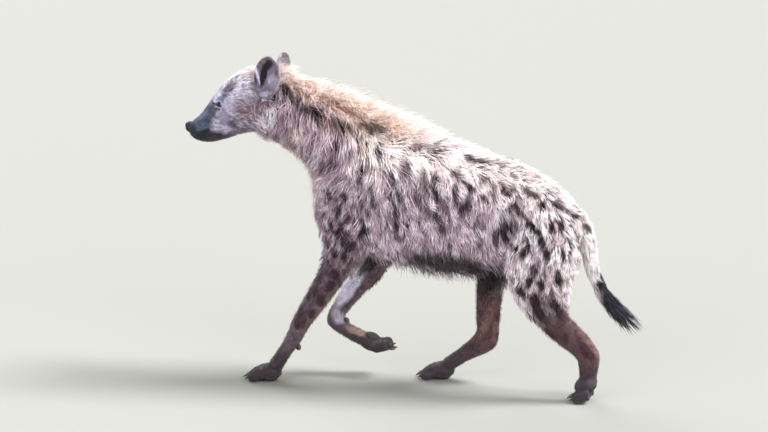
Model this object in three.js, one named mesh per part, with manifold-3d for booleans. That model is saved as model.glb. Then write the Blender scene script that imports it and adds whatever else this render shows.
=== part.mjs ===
// A spotted hyena at life size, caught in a trot with its left side to the front.
// Millimetres, +Z up, floor at z = 0. It faces -X and its left side is at -Y.
// Every body form is a loft: rings set on a few levels, each with a top and a base point seen from
// the side and a half width, all measured to the tips of the coat. Where the coat is long the loft
// is drawn in to make a core, and locks of hair grow from the core out to the tips.
import * as THREE from "three";
import { mergeVertices } from "three/addons/utils/BufferGeometryUtils.js";
import Module from "manifold-3d";

const wasm = await Module();
wasm.setup();

// Seams and resolution
const SEAM = 0.3;
const TRUNK_SIDES = 14;
const TRUNK_ROWS = 18;
const HEAD_SIDES = 18;
const HEAD_ROWS = 18;
const LIMB_SIDES = 10;
const LIMB_ROWS = 14;
const TOE_SIDES = 6;
const TOE_ROWS = 3;
const DOME_STEPS = 3;
const SMALL_DOME_STEPS = 1;

// The core stays this share of the long coat's depth under the tips
const CORE_INSET = 0.5;

// Trunk and neck, from behind the ears to the tail head: top and base point as [x, z],
// half width, and the depth of the long coat on the top, the side and the base
const TRUNK_LEVELS = [
  { top: [-418, 926], base: [-462, 726], half: 86, coat: [16, 8, 6] },
  { top: [-345, 912], base: [-394, 698], half: 92, coat: [48, 26, 18] },
  { top: [-268, 874], base: [-334, 656], half: 102, coat: [56, 28, 22] },
  { top: [-190, 840], base: [-292, 586], half: 116, coat: [54, 28, 24] },
  { top: [-115, 808], base: [-278, 470], half: 130, coat: [48, 26, 20] },
  { top: [-45, 786], base: [-200, 396], half: 137, coat: [40, 25, 16] },
  { top: [40, 759], base: [-92, 382], half: 139, coat: [30, 25, 18] },
  { top: [125, 732], base: [30, 362], half: 137, coat: [26, 25, 22] },
  { top: [215, 706], base: [128, 356], half: 129, coat: [20, 25, 22] },
  { top: [300, 680], base: [215, 366], half: 121, coat: [15, 22, 18] },
  { top: [376, 648], base: [300, 392], half: 117, coat: [12, 20, 15] },
  { top: [438, 603], base: [390, 416], half: 104, coat: [10, 18, 14] },
  { top: [486, 552], base: [458, 432], half: 76, coat: [8, 14, 12] },
];
const TRUNK_DOMES = [30, 26];

// Head, from behind the ears to the nose
const HEAD_LEVELS = [
  { top: [-430, 908], base: [-468, 742], half: 70 },
  { top: [-474, 928], base: [-505, 735], half: 80 },
  { top: [-520, 925], base: [-545, 721], half: 87 },
  { top: [-564, 897], base: [-578, 708], half: 84 },
  { top: [-603, 858], base: [-606, 698], half: 69 },
  { top: [-632, 816], base: [-632, 694], half: 51 },
  { top: [-658, 783], base: [-655, 696], half: 43 },
  { top: [-681, 764], base: [-675, 704], half: 36 },
  { top: [-694, 754], base: [-689, 719], half: 26 },
];
const HEAD_DOMES = [20, 5];

// Swellings and hollows of the head as [x, y, z], reach and height, on both sides
const HEAD_LUMPS = [
  { name: "cheekbone", at: [-548, 84, 790], reach: [42, 40, 26], push: 7 },
  { name: "brow", at: [-600, 58, 846], reach: [20, 26, 13], push: 7 },
  { name: "eye hollow", at: [-594, 66, 822], reach: [20, 26, 15], push: -6 },
  { name: "jaw muscle", at: [-520, 82, 752], reach: [34, 40, 30], push: 5 },
  { name: "lip pad", at: [-662, 40, 738], reach: [22, 26, 15], push: 4 },
  { name: "muzzle side", at: [-628, 54, 776], reach: [20, 30, 18], push: -4 },
];

// Eyes
const EYE_RADIUS = 11.5;
const EYE_CENTRE = [-592, 56, 822];
const EYE_FACES = [-0.6, 0.79, 0.05];
const EYE_OPENING = [23, 11];
const LID_RADII = [17, 12.5, 13.6];

// Mouth line as [x, z], from under the nose to the corner, and the lips along it
const MOUTH_LINE = [[-712, 724], [-676, 725], [-632, 738], [-590, 741], [-548, 756]];
const MOUTH_SLOT = 2.2;
const MOUTH_DEEP = 5;
const UPPER_LIP = 7;
const LOWER_LIP = 6;
const LIP_PROUD = 1.6;

// Nose pad
const NOSE_CENTRE = [-695, 0, 745];
const NOSE_RADII = [12, 20, 14];
const NOSTRIL_CENTRE = [-706, 9, 747];
const NOSTRIL_RADII = [7, 4.5, 5];

// Ears: a rounded cup. The left ear is turned to the side and the right one forwards.
const EAR_WIDE = 88;
const EAR_TALL = 130;
const EAR_DEEP = 40;
const EAR_WALL = 5;
const EARS = [
  { side: "left", at: [-430, -78, 911], faces: [-0.2, -0.98, 0.04], lean: [0.05, -0.12, 1] },
  { side: "right", at: [-434, 82, 897], faces: [-0.985, 0.17, 0.04], lean: [0.05, 0.3, 1] },
];

// Limbs: half widths, distance from the middle of the animal and depth of the long coat, level by
// level. Each limb gives the centre of its levels as [x, z] and the depth from front to rear.
const FORE_SHAPE = {
  halfWidths: [30, 48, 57, 47, 39, 34, 29, 27, 27, 31],
  sideways: [70, 82, 86, 86, 84, 83, 81, 80, 78, 76],
  coat: [20, 20, 18, 5, 0, 0, 0, 0, 0, 0],
};
const HIND_SHAPE = {
  halfWidths: [30, 52, 63, 53, 40, 32, 26, 25, 23, 28],
  sideways: [56, 66, 74, 82, 83, 82, 81, 80, 79, 78],
  coat: [18, 18, 16, 5, 0, 0, 0, 0, 0, 0],
};

// The joints where a limb is parted, by the number of the level
const UPPER_JOINT = 3;
const LOWER_JOINT = 7;

const LIMBS = [
  {
    name: "fore_left",
    side: -1,
    shape: FORE_SHAPE,
    levels: [
      { at: [-122, 706], deep: 110 },
      { at: [-158, 640], deep: 166 },
      { at: [-192, 545], deep: 190 },
      { at: [-192, 425], deep: 142 },
      { at: [-228, 344], deep: 100 },
      { at: [-281, 257], deep: 80 },
      { at: [-325, 190], deep: 66 },
      { at: [-352, 136], deep: 55 },
      { at: [-381, 90], deep: 48 },
      { at: [-409, 48], deep: 50 },
    ],
    foot: { at: [-428, 0], pitch: 0, heelLift: 0, stands: true },
    carpalPad: true,
  },
  {
    name: "fore_right",
    side: 1,
    shape: FORE_SHAPE,
    levels: [
      { at: [-122, 706], deep: 110 },
      { at: [-150, 640], deep: 166 },
      { at: [-168, 545], deep: 186 },
      { at: [-136, 420], deep: 134 },
      { at: [-156, 324], deep: 94 },
      { at: [-205, 262], deep: 72 },
      { at: [-243, 212], deep: 62 },
      { at: [-268, 158], deep: 62 },
      { at: [-224, 126], deep: 50 },
      { at: [-170, 103], deep: 48 },
    ],
    foot: { at: [-148, 124], pitch: 203, heelLift: 0, stands: false },
    carpalPad: true,
  },
  {
    name: "hind_left",
    side: -1,
    shape: HIND_SHAPE,
    levels: [
      { at: [372, 600], deep: 120 },
      { at: [392, 525], deep: 190 },
      { at: [398, 425], deep: 230 },
      { at: [398, 320], deep: 180 },
      { at: [437, 236], deep: 106 },
      { at: [478, 197], deep: 92 },
      { at: [516, 165], deep: 82 },
      { at: [538, 132], deep: 76 },
      { at: [538, 88], deep: 62 },
      { at: [536, 46], deep: 54 },
    ],
    foot: { at: [556, 0], pitch: 0, heelLift: 35, stands: true },
    carpalPad: false,
  },
  {
    name: "hind_right",
    side: 1,
    shape: HIND_SHAPE,
    levels: [
      { at: [372, 600], deep: 120 },
      { at: [366, 530], deep: 180 },
      { at: [302, 440], deep: 186 },
      { at: [226, 362], deep: 136 },
      { at: [206, 292], deep: 97 },
      { at: [201, 236], deep: 86 },
      { at: [199, 186], deep: 82 },
      { at: [192, 126], deep: 80 },
      { at: [126, 78], deep: 54 },
      { at: [78, 44], deep: 48 },
    ],
    foot: { at: [62, 0], pitch: 0, heelLift: 0, stands: true },
    carpalPad: false,
  },
];
const CARPAL_PAD_RADII = [9, 8, 11];
const CARPAL_PAD_BELOW_WRIST = 0.3;

// Foot, in its own frame: toes along +X, the sole at z = 0 and the palm over the origin
const PALM_CENTRE = [0, 0, 27];
const PALM_RADII = [37, 36, 27];
const PAD_CENTRE = [-3, 0, 10];
const PAD_RADII = [24, 27, 12];
const TOE_COUNT = 4;
const TOE_SPACING = 19;
const TOE_FAN = 0.12;
const OUTER_TOE_SHORTER = 10;
const TOE_LEVELS = [
  { at: [14, 27], deep: 34, half: 11.5 },
  { at: [34, 25], deep: 34, half: 12 },
  { at: [52, 12.5], deep: 31, half: 11.5 },
  { at: [62, 9.5], deep: 20, half: 9 },
];
const TOE_DOMES = [4, 4];
const CLAW_LEVELS = [
  { at: [56, 15], deep: 10, half: 3.8 },
  { at: [70, 14], deep: 8, half: 3.2 },
  { at: [78, 9.5], deep: 3.4, half: 1.6 },
];
const CLAW_DOMES = [1, 0.8];
const CLAW_SIDES = 4;
const CLAW_ROWS = 1;

// Tail: level centres as [x, z], sideways swing, depth and half width
const TAIL_LEVELS = [
  { at: [484, 532], y: 0, deep: 62, half: 31 },
  { at: [508, 478], y: 0, deep: 56, half: 28 },
  { at: [520, 425], y: 2, deep: 48, half: 25 },
  { at: [532, 368], y: 4, deep: 46, half: 24 },
  { at: [556, 316], y: 8, deep: 54, half: 28 },
  { at: [590, 272], y: 12, deep: 56, half: 29 },
  { at: [627, 234], y: 15, deep: 44, half: 23 },
  { at: [662, 205], y: 17, deep: 27, half: 14 },
  { at: [690, 188], y: 18, deep: 10, half: 6 },
];
const TAIL_COAT = [0, 0, 0, 2, 12, 22, 18, 10, 4];
const TAIL_SIDES = 8;
const TAIL_ROWS = 12;
const TAIL_BRUSH_LEVEL = 4;

// Where head, neck and torso are parted: a point on the cut and the direction that it faces
const NAPE_CUT = { at: [-424, 0, 826], faces: [1, 0, -0.5] };
const SHOULDER_CUT = { at: [-205, 0, 690], faces: [1, 0, -0.42] };

// Locks: three-sided blades, flat and tapered, rooted in the core and laid over one another.
// Each station along a lock gives its share of the length, width, thickness and height.
const LONG_LOCK = [
  { share: 0, wide: 0.75, thick: 1, rise: 0 },
  { share: 0.36, wide: 1, thick: 1, rise: 0.5 },
  { share: 0.72, wide: 0.7, thick: 0.8, rise: 0.86 },
];
const SHORT_LOCK = [
  { share: 0, wide: 0.95, thick: 1, rise: 0 },
  { share: 0.44, wide: 0.92, thick: 1, rise: 0.6 },
];
const LOCK_SUNK = 9;
const LOCK_LEAST_RISE = 2;
const TIP_GROWTH = 6;
const LOCK_JITTER = 0.16;
const LOCK_TURN_JITTER = 16;
const LOCK_SEED = 17;

// Patches of locks. `along` runs from the first level to the last, and angles from 90 degrees on
// the back or the front of a limb to -90 on the belly or the rear. The lie turns from straight
// along (0) towards straight round (90).
const CREST = {
  stations: LONG_LOCK, along: [0.0, 0.86], columns: 13, angles: [90, 90], rows: 1,
  length: 112, width: 54, thick: 8, rise: 1.25, lie: [0, 0],
};
const BACK = {
  stations: SHORT_LOCK, along: [0.01, 0.86], columns: 12, angles: [62, 62], rows: 1,
  length: 112, width: 60, thick: 7, rise: 1, lie: [24, 24],
};
const NECK = {
  stations: SHORT_LOCK, along: [0.015, 0.25], columns: 4, angles: [30, -66], rows: 4,
  length: 92, width: 56, thick: 7, rise: 1, lie: [44, 58],
};
const FLANK = {
  stations: SHORT_LOCK, along: [0.33, 0.94], columns: 8, angles: [32, -66], rows: 4,
  length: 138, width: 68, thick: 7, rise: 1, lie: [50, 64],
};
const LIMB_TOP = {
  stations: SHORT_LOCK, along: [0.14, 0.26], columns: 2, angles: [52, -52], rows: 3,
  length: 116, width: 62, thick: 7, rise: 1, lie: [8, -8],
};
const BRUSH = {
  stations: SHORT_LOCK, along: [0.42, 0.7], columns: 3, angles: [-162, 108], rows: 4,
  length: 112, width: 32, thick: 7, rise: 1, lie: [0, 0],
};

const CUTTING_BLOCK = 4000;
const UNIT_Y = new THREE.Vector3(0, 1, 0);

// Finishes
const COAT_BUFF = new THREE.MeshStandardMaterial({ color: 0xb9a79b, roughness: 0.9 });
const NECK_TAN = new THREE.MeshStandardMaterial({ color: 0xc2a88e, roughness: 0.9 });
const FACE_GREY = new THREE.MeshStandardMaterial({ color: 0x9b8f93, roughness: 0.85 });
const LEG_BROWN = new THREE.MeshStandardMaterial({ color: 0x5f4a45, roughness: 0.88 });
const FOOT_DARK = new THREE.MeshStandardMaterial({ color: 0x2f2829, roughness: 0.85 });
const TAIL_BLACK = new THREE.MeshStandardMaterial({ color: 0x2b2527, roughness: 0.85 });
const NOSE_BLACK = new THREE.MeshStandardMaterial({ color: 0x15161b, roughness: 0.4 });
const EYE_BROWN = new THREE.MeshStandardMaterial({ color: 0x1d1310, roughness: 0.1 });

// Solids

function solidFrom(geometry) {
  const bare = geometry.clone();
  bare.deleteAttribute("normal");
  bare.deleteAttribute("uv");
  const merged = mergeVertices(bare);
  return new wasm.Manifold(
    new wasm.Mesh({
      numProp: 3,
      vertProperties: new Float32Array(merged.attributes.position.array),
      triVerts: new Uint32Array(merged.index.array),
    }),
  );
}

function joined(solids) {
  return solids.reduce((whole, next) => whole.add(next));
}

function largestBody(solid) {
  const bodies = solid.decompose();
  bodies.sort((one, other) => other.volume() - one.volume());
  return bodies[0];
}

function meshFrom(name, solid, material) {
  const data = largestBody(solid).getMesh();
  const geometry = new THREE.BufferGeometry();
  geometry.setAttribute("position", new THREE.BufferAttribute(data.vertProperties, 3));
  geometry.setIndex(new THREE.BufferAttribute(data.triVerts, 1));
  geometry.computeVertexNormals();
  const mesh = new THREE.Mesh(geometry, material);
  mesh.name = name;
  return mesh;
}

// A block whose near face goes through a point, and which fills the side that the face looks to.
function halfSpace(at, faces, gap = 0) {
  const direction = new THREE.Vector3(...faces).normalize();
  const block = new THREE.BoxGeometry(CUTTING_BLOCK, CUTTING_BLOCK, CUTTING_BLOCK);
  block.translate(0, 0, CUTTING_BLOCK / 2);
  block.applyQuaternion(
    new THREE.Quaternion().setFromUnitVectors(new THREE.Vector3(0, 0, 1), direction),
  );
  const start = new THREE.Vector3(...at).addScaledVector(direction, gap);
  block.translate(start.x, start.y, start.z);
  return solidFrom(block);
}

function opposite(faces) {
  return faces.map((value) => -value);
}

function parted(solid, cut) {
  return {
    before: solid.intersect(halfSpace(cut.at, opposite(cut.faces), SEAM / 2)),
    after: solid.intersect(halfSpace(cut.at, cut.faces, SEAM / 2)),
  };
}

function ellipsoid(centre, radii, across = 14, down = 10) {
  const ball = new THREE.SphereGeometry(1, across, down);
  ball.scale(...radii);
  ball.translate(...centre);
  return ball;
}

// Lofts

function curveThrough(points) {
  return new THREE.CatmullRomCurve3(points, false, "catmullrom", 0.5);
}

// A body form from levels that give a top and a base point seen from the side.
function profileForm(levels, domes, { square = 2.2, widest = 0.5, lumps = [] } = {}) {
  return {
    top: curveThrough(levels.map(({ top }) => new THREE.Vector3(top[0], 0, top[1]))),
    base: curveThrough(levels.map(({ base }) => new THREE.Vector3(base[0], 0, base[1]))),
    half: curveThrough(levels.map(({ half }) => new THREE.Vector3(half, 0, 0))),
    coat: curveThrough(levels.map(({ coat = [0, 0, 0] }) => new THREE.Vector3(...coat))),
    domes,
    square,
    widest,
    lumps,
  };
}

// A body form along a chain of level centres, each with a depth in the plane of the chain.
function chainForm(levels, domes, { square = 2, lumps = [] } = {}) {
  const centres = levels.map(({ at, y }) => new THREE.Vector3(at[0], y, at[1]));
  const last = centres.length - 1;
  const edges = levels.map(({ deep }, index) => {
    const along = centres[Math.min(index + 1, last)].clone();
    along.sub(centres[Math.max(index - 1, 0)]);
    const front = new THREE.Vector3(along.z, 0, -along.x).normalize();
    return {
      top: centres[index].clone().addScaledVector(front, deep / 2),
      base: centres[index].clone().addScaledVector(front, -deep / 2),
    };
  });
  return {
    top: curveThrough(edges.map(({ top }) => top)),
    base: curveThrough(edges.map(({ base }) => base)),
    half: curveThrough(levels.map(({ half }) => new THREE.Vector3(half, 0, 0))),
    coat: curveThrough(levels.map(({ coat = 0 }) => new THREE.Vector3(coat, coat, coat))),
    domes,
    square,
    widest: 0.5,
    lumps,
  };
}

function ringAt(form, along) {
  const top = form.top.getPoint(along);
  const base = form.base.getPoint(along);
  return {
    top,
    base,
    half: form.half.getPoint(along).x,
    coat: form.coat.getPoint(along),
    middle: base.clone().lerp(top, form.widest),
  };
}

function swollen(point, outwards, lumps) {
  const moved = point.clone();
  for (const { at, reach, push } of lumps) {
    const far =
      ((point.x - at[0]) / reach[0]) ** 2 +
      ((point.y - at[1]) / reach[1]) ** 2 +
      ((point.z - at[2]) / reach[2]) ** 2;
    moved.addScaledVector(outwards, push * Math.exp(-far));
  }
  return moved;
}

// A point of a form's surface: angle 0 is the right side and 90 degrees the top.
function surfacePoint(form, ring, angle, { grow = 0, inset = 0 }) {
  const up = Math.sin(angle);
  const side = Math.cos(angle);
  const arm = (up >= 0 ? ring.top : ring.base).clone().sub(ring.middle);
  const coat = up >= 0 ? ring.coat.x : ring.coat.z;
  const reach = arm.length() + grow - inset * coat;
  const half = ring.half + grow - inset * ring.coat.y;
  const offset = arm.normalize().multiplyScalar(reach * Math.abs(up) ** (2 / form.square));
  offset.addScaledVector(UNIT_Y, half * Math.sign(side) * Math.abs(side) ** (2 / form.square));
  const point = ring.middle.clone().add(offset);
  return swollen(point, offset.normalize(), form.lumps);
}

function ringPoints(form, ring, sides, options) {
  const points = [];
  for (let side = 0; side < sides; side += 1) {
    points.push(surfacePoint(form, ring, (2 * Math.PI * side) / sides, options));
  }
  return points;
}

// The rings that round off one end of a form, from the last full ring outwards.
function domeRings(points, middle, outwards, dome, steps) {
  const rings = [];
  for (let step = 1; step < steps; step += 1) {
    const turn = (step / steps) * (Math.PI / 2);
    const centre = middle.clone().addScaledVector(outwards, dome * Math.sin(turn));
    rings.push(
      points.map((point) => point.clone().sub(middle).multiplyScalar(Math.cos(turn)).add(centre)),
    );
  }
  return rings;
}

function loft(form, { sides, rows, grow = 0, inset = 0, domeSteps = DOME_STEPS }) {
  const options = { grow, inset };
  const rings = [];
  for (let row = 0; row <= rows; row += 1) {
    rings.push(ringPoints(form, ringAt(form, row / rows), sides, options));
  }
  const first = ringAt(form, 0).middle;
  const final = ringAt(form, 1).middle;
  const outFirst = first.clone().sub(ringAt(form, 0.02).middle).normalize();
  const outFinal = final.clone().sub(ringAt(form, 0.98).middle).normalize();
  const [domeFirst, domeFinal] = form.domes.map((dome) => dome + grow);
  const startRings = domeRings(rings[0], first, outFirst, domeFirst, domeSteps).reverse();
  const endRings = domeRings(rings[rows], final, outFinal, domeFinal, domeSteps);
  return closedSkin(
    [...startRings, ...rings, ...endRings],
    first.clone().addScaledVector(outFirst, domeFirst),
    final.clone().addScaledVector(outFinal, domeFinal),
  );
}

// A closed surface over rings of points, with one point at each end.
function closedSkin(rings, startPoint, endPoint) {
  const sides = rings[0].length;
  const points = [startPoint, ...rings.flat(), endPoint];
  const end = points.length - 1;
  const at = (ring, side) => 1 + ring * sides + (side % sides);
  const faces = [];
  for (let side = 0; side < sides; side += 1) {
    faces.push(0, at(0, side + 1), at(0, side));
    faces.push(end, at(rings.length - 1, side), at(rings.length - 1, side + 1));
    for (let ring = 0; ring < rings.length - 1; ring += 1) {
      faces.push(at(ring, side), at(ring, side + 1), at(ring + 1, side));
      faces.push(at(ring, side + 1), at(ring + 1, side + 1), at(ring + 1, side));
    }
  }
  if (signedVolume(points, faces) < 0) {
    faces.reverse();
  }
  const geometry = new THREE.BufferGeometry().setFromPoints(points);
  geometry.setIndex(faces);
  return geometry;
}

function signedVolume(points, faces) {
  let volume = 0;
  for (let corner = 0; corner < faces.length; corner += 3) {
    const [a, b, c] = [0, 1, 2].map((step) => points[faces[corner + step]]);
    volume += a.dot(b.clone().cross(c)) / 6;
  }
  return volume;
}

// Locks

// A small generator of even random numbers, so that each build draws the same coat.
function randomSource(seed) {
  let state = seed;
  return () => {
    state = (Math.imul(state, 1664525) + 1013904223) >>> 0;
    return state / 2 ** 32;
  };
}

function spread([from, to], index, count) {
  return count === 1 ? (from + to) / 2 : from + ((to - from) * index) / (count - 1);
}

// The core's surface at a spot: the point, the way out, the travel for a unit step of along and of
// angle, and the height from the core to the tips of the coat.
function surfaceAt(form, along, angle) {
  const step = 1e-3;
  const options = { inset: CORE_INSET };
  const ring = ringAt(form, along);
  const point = surfacePoint(form, ring, angle, options);
  const back = surfacePoint(form, ringAt(form, along + step), angle, options).sub(point);
  const round = surfacePoint(form, ring, angle + step, options).sub(point);
  const out = back.clone().cross(round).normalize();
  if (out.dot(point.clone().sub(ring.middle)) < 0) {
    out.negate();
  }
  const up = Math.sin(angle);
  const coat = (up >= 0 ? ring.coat.x : ring.coat.z) * up ** 2 + ring.coat.y * (1 - up ** 2);
  return {
    point,
    out,
    back: back.divideScalar(step),
    round: round.divideScalar(step),
    toTips: coat * CORE_INSET,
  };
}

// One lock on a form. `turn` is 1 where the lie turns towards a smaller angle, as on the right side.
function lockSolid(form, lock, grow = 0) {
  const root = surfaceAt(form, lock.along, lock.angle);
  const alongStep = (lock.length * Math.cos(lock.lie)) / root.back.length();
  const angleStep = (-lock.turn * lock.length * Math.sin(lock.lie)) / root.round.length();
  const spot = (share) =>
    surfaceAt(form, Math.min(lock.along + share * alongStep, 1), lock.angle + share * angleStep);
  const height = (here, share) =>
    lock.rise * share * Math.max(here.toTips, LOCK_LEAST_RISE) - LOCK_SUNK * (1 - share) ** 3;
  const rings = lock.stations.map(({ share, wide, thick, rise }) => {
    const here = spot(share);
    const ahead = spot(share + 0.05).point.sub(here.point).normalize();
    const across = here.out.clone().cross(ahead).normalize();
    const middle = here.point.clone().addScaledVector(here.out, height(here, rise) - grow);
    const half = (lock.width * wide) / 2 + grow;
    return [
      middle.clone().addScaledVector(across, half),
      middle.clone().addScaledVector(here.out, lock.thick * thick + 2 * grow),
      middle.clone().addScaledVector(across, -half),
    ];
  });
  const end = spot(1);
  const last = rings[rings.length - 1];
  const tip = end.point.clone().addScaledVector(end.out, height(end, 1));
  const lastMiddle = last[0].clone().lerp(last[2], 0.5);
  tip.addScaledVector(tip.clone().sub(lastMiddle).normalize(), TIP_GROWTH * grow);
  const foot = rings[0][0].clone().lerp(rings[0][2], 0.5);
  return solidFrom(closedSkin(rings, foot, tip));
}

// The locks of a patch, set like bricks and varied a little. Side 1 is the animal's right.
function patchLocks(patch, side, random) {
  const vary = (size) => size * (1 + LOCK_JITTER * (2 * random() - 1));
  const gap = (patch.along[1] - patch.along[0]) / (patch.columns - 1);
  const turnGap = (patch.angles[1] - patch.angles[0]) / patch.rows;
  const locks = [];
  for (let row = 0; row < patch.rows; row += 1) {
    for (let column = 0; column < patch.columns; column += 1) {
      const brick = row % 2 === 1 ? 0.5 : 0;
      const along = spread(patch.along, column, patch.columns) + gap * (brick + 0.2 * random());
      const angle = spread(patch.angles, row, patch.rows) + 0.25 * turnGap * (random() - 0.5);
      const lie = spread(patch.lie, row, patch.rows) + LOCK_TURN_JITTER * (random() - 0.5);
      locks.push({
        stations: patch.stations,
        along: Math.min(along, patch.along[1]),
        angle: THREE.MathUtils.degToRad(side > 0 ? angle : 180 - angle),
        turn: side,
        lie: THREE.MathUtils.degToRad(lie),
        length: vary(patch.length),
        width: vary(patch.width),
        thick: vary(patch.thick),
        rise: vary(patch.rise),
      });
    }
  }
  return locks;
}

function locksSolid(form, locks, grow = 0) {
  return joined(locks.map((lock) => lockSolid(form, lock, grow)));
}

// The space that locks of another node keep out of.
function locksZone(form, locks) {
  return locksSolid(form, locks).add(locksSolid(form, locks, SEAM));
}

// Whether a point lies inside a form, or within a margin of its skin.
function isInside(form, point, margin) {
  const samples = 40;
  for (let index = 0; index < samples; index += 1) {
    const ring = ringAt(form, index / samples);
    const onwards = ringAt(form, (index + 1) / samples).middle.sub(ring.middle);
    const offset = point.clone().sub(ring.middle);
    const ahead = offset.dot(onwards) / onwards.lengthSq();
    const arm = ring.top.clone().sub(ring.middle);
    const high = offset.dot(arm) / (arm.length() * (arm.length() + margin));
    const wide = offset.y / (ring.half + margin);
    if (ahead >= 0 && ahead < 1 && high ** 2 + wide ** 2 < 1) {
      return true;
    }
  }
  return false;
}

// Trunk, neck and head

const trunkForm = profileForm(TRUNK_LEVELS, TRUNK_DOMES);
const bothSides = HEAD_LUMPS.flatMap(({ at, reach, push }) => [
  { at, reach, push },
  { at: [at[0], -at[1], at[2]], reach, push },
]);
const headForm = profileForm(HEAD_LEVELS, HEAD_DOMES, { square: 2.3, lumps: bothSides });

function trunkSolid(grow, inset = CORE_INSET) {
  return solidFrom(loft(trunkForm, { sides: TRUNK_SIDES, rows: TRUNK_ROWS, grow, inset }));
}

function headSolid(grow = 0) {
  return solidFrom(loft(headForm, { sides: HEAD_SIDES, rows: HEAD_ROWS, grow }));
}

function isBefore(cut, point) {
  const facing = new THREE.Vector3(...cut.faces);
  return point.clone().sub(new THREE.Vector3(...cut.at)).dot(facing) < 0;
}

// The locks of the trunk that no limb covers, for the neck and for the torso.
function trunkLocks() {
  const random = randomSource(LOCK_SEED);
  const limbForms = LIMBS.map((limb) => limbForm(limb));
  const all = [
    ...patchLocks(CREST, 1, random),
    ...[-1, 1].flatMap((side) => patchLocks(BACK, side, random)),
    ...[-1, 1].flatMap((side) => patchLocks(NECK, side, random)),
    ...[-1, 1].flatMap((side) => patchLocks(FLANK, side, random)),
  ];
  const rootOf = ({ along, angle }) => surfaceAt(trunkForm, along, angle).point;
  const free = all.filter((lock) => !limbForms.some((form) => isInside(form, rootOf(lock), 0)));
  return {
    neck: free.filter((lock) => isBefore(SHOULDER_CUT, rootOf(lock))),
    torso: free.filter((lock) => !isBefore(SHOULDER_CUT, rootOf(lock))),
  };
}

// An ear's place: X along its width, Y where its cup faces, Z along its height.
function earPlace({ at, faces, lean }) {
  const facing = new THREE.Vector3(...faces).normalize();
  const across = facing.clone().cross(new THREE.Vector3(...lean)).normalize();
  const upwards = across.clone().cross(facing).normalize();
  return new THREE.Matrix4().makeBasis(across, facing, upwards).setPosition(...at);
}

// The ear's outer form: an egg, narrower at its foot, flat behind the cup.
function earBlank(ear, grow) {
  const egg = new THREE.SphereGeometry(1, 15, 9);
  egg.rotateX(Math.PI / 2);
  const place = egg.attributes.position;
  for (let index = 0; index < place.count; index += 1) {
    const narrow = 1 - 0.16 * Math.max(0, -place.getZ(index));
    place.setX(index, place.getX(index) * narrow);
  }
  egg.scale(EAR_WIDE / 2 + grow, EAR_DEEP / 2 + grow, EAR_TALL / 2 + grow);
  return solidFrom(egg.applyMatrix4(earPlace(ear)));
}

function earCup(ear) {
  const cup = new THREE.SphereGeometry(1, 13, 8);
  cup.rotateX(Math.PI / 2);
  cup.scale(EAR_WIDE / 2 - EAR_WALL, EAR_DEEP / 2, EAR_TALL / 2 - EAR_WALL);
  cup.translate(0, EAR_WALL * 1.6, EAR_WALL * 0.4);
  return solidFrom(cup.applyMatrix4(earPlace(ear)));
}

function eyeCentre(side) {
  return [EYE_CENTRE[0], side * EYE_CENTRE[1], EYE_CENTRE[2]];
}

// An eye's place: X along the lids, Y upwards and Z where the eye looks.
function eyePlace(side) {
  const facing = new THREE.Vector3(EYE_FACES[0], side * EYE_FACES[1], EYE_FACES[2]).normalize();
  const across = new THREE.Vector3(0, 0, 1).cross(facing).normalize();
  const upwards = facing.clone().cross(across);
  return new THREE.Matrix4().makeBasis(across, upwards, facing).setPosition(...eyeCentre(side));
}

function eyeBall(side, grow = 0) {
  const radius = EYE_RADIUS + grow;
  return solidFrom(ellipsoid(eyeCentre(side), [radius, radius, radius], 10, 7));
}

// The opening between the lids: a pointed oval, pushed outwards from the middle of the eye.
function lidOpening(side) {
  const [wide, tall] = EYE_OPENING.map((size) => size / 2);
  const oval = new THREE.Shape();
  oval.moveTo(-wide, 0);
  oval.quadraticCurveTo(0, 2 * tall, wide, 0);
  oval.quadraticCurveTo(0, -2 * tall, -wide, 0);
  const plug = new THREE.ExtrudeGeometry(oval, {
    depth: 3 * EYE_RADIUS,
    bevelEnabled: false,
    curveSegments: 3,
  });
  return solidFrom(plug.applyMatrix4(eyePlace(side)));
}

function withEyeSocket(head, side) {
  const lids = ellipsoid([0, 0, 0], LID_RADII, 10, 8).applyMatrix4(eyePlace(side));
  return head.add(solidFrom(lids)).subtract(eyeBall(side, SEAM)).subtract(lidOpening(side));
}

function nosePad(grow = 0) {
  return solidFrom(ellipsoid(NOSE_CENTRE, NOSE_RADII.map((radius) => radius + grow), 12, 8));
}

function nose() {
  return [-1, 1].reduce((pad, side) => {
    const centre = [NOSTRIL_CENTRE[0], side * NOSTRIL_CENTRE[1], NOSTRIL_CENTRE[2]];
    return pad.subtract(solidFrom(ellipsoid(centre, NOSTRIL_RADII, 8, 6)));
  }, nosePad());
}

// A band along the mouth line, from a height below it to a height above it, right across the head.
function mouthBand(below, above) {
  const spots = MOUTH_LINE.map(([x, z]) => new THREE.Vector2(x, z));
  const taper = (index) => 1 - 0.7 * (index / spots.length) ** 3;
  const over = spots.map((spot, index) => new THREE.Vector2(spot.x, spot.y + above * taper(index)));
  const under = spots.map((spot, index) => new THREE.Vector2(spot.x, spot.y - below * taper(index)));
  const band = new THREE.ExtrudeGeometry(new THREE.Shape([...over, ...under.reverse()]), {
    depth: 4 * HEAD_LEVELS[2].half,
    bevelEnabled: false,
  });
  band.translate(0, 0, -2 * HEAD_LEVELS[2].half);
  band.rotateX(Math.PI / 2);
  return solidFrom(band);
}

function withMouth(head) {
  const lips = mouthBand(LOWER_LIP, UPPER_LIP).intersect(headSolid(LIP_PROUD));
  const slot = mouthBand(MOUTH_SLOT / 2, MOUTH_SLOT / 2).subtract(headSolid(-MOUTH_DEEP));
  return head.add(lips).subtract(slot);
}

// Limbs

function limbForm({ side, levels, shape }) {
  return chainForm(
    levels.map(({ at, deep }, index) => ({
      at,
      deep,
      y: side * shape.sideways[index],
      half: shape.halfWidths[index],
      coat: shape.coat[index],
    })),
    [20, 8],
  );
}

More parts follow.
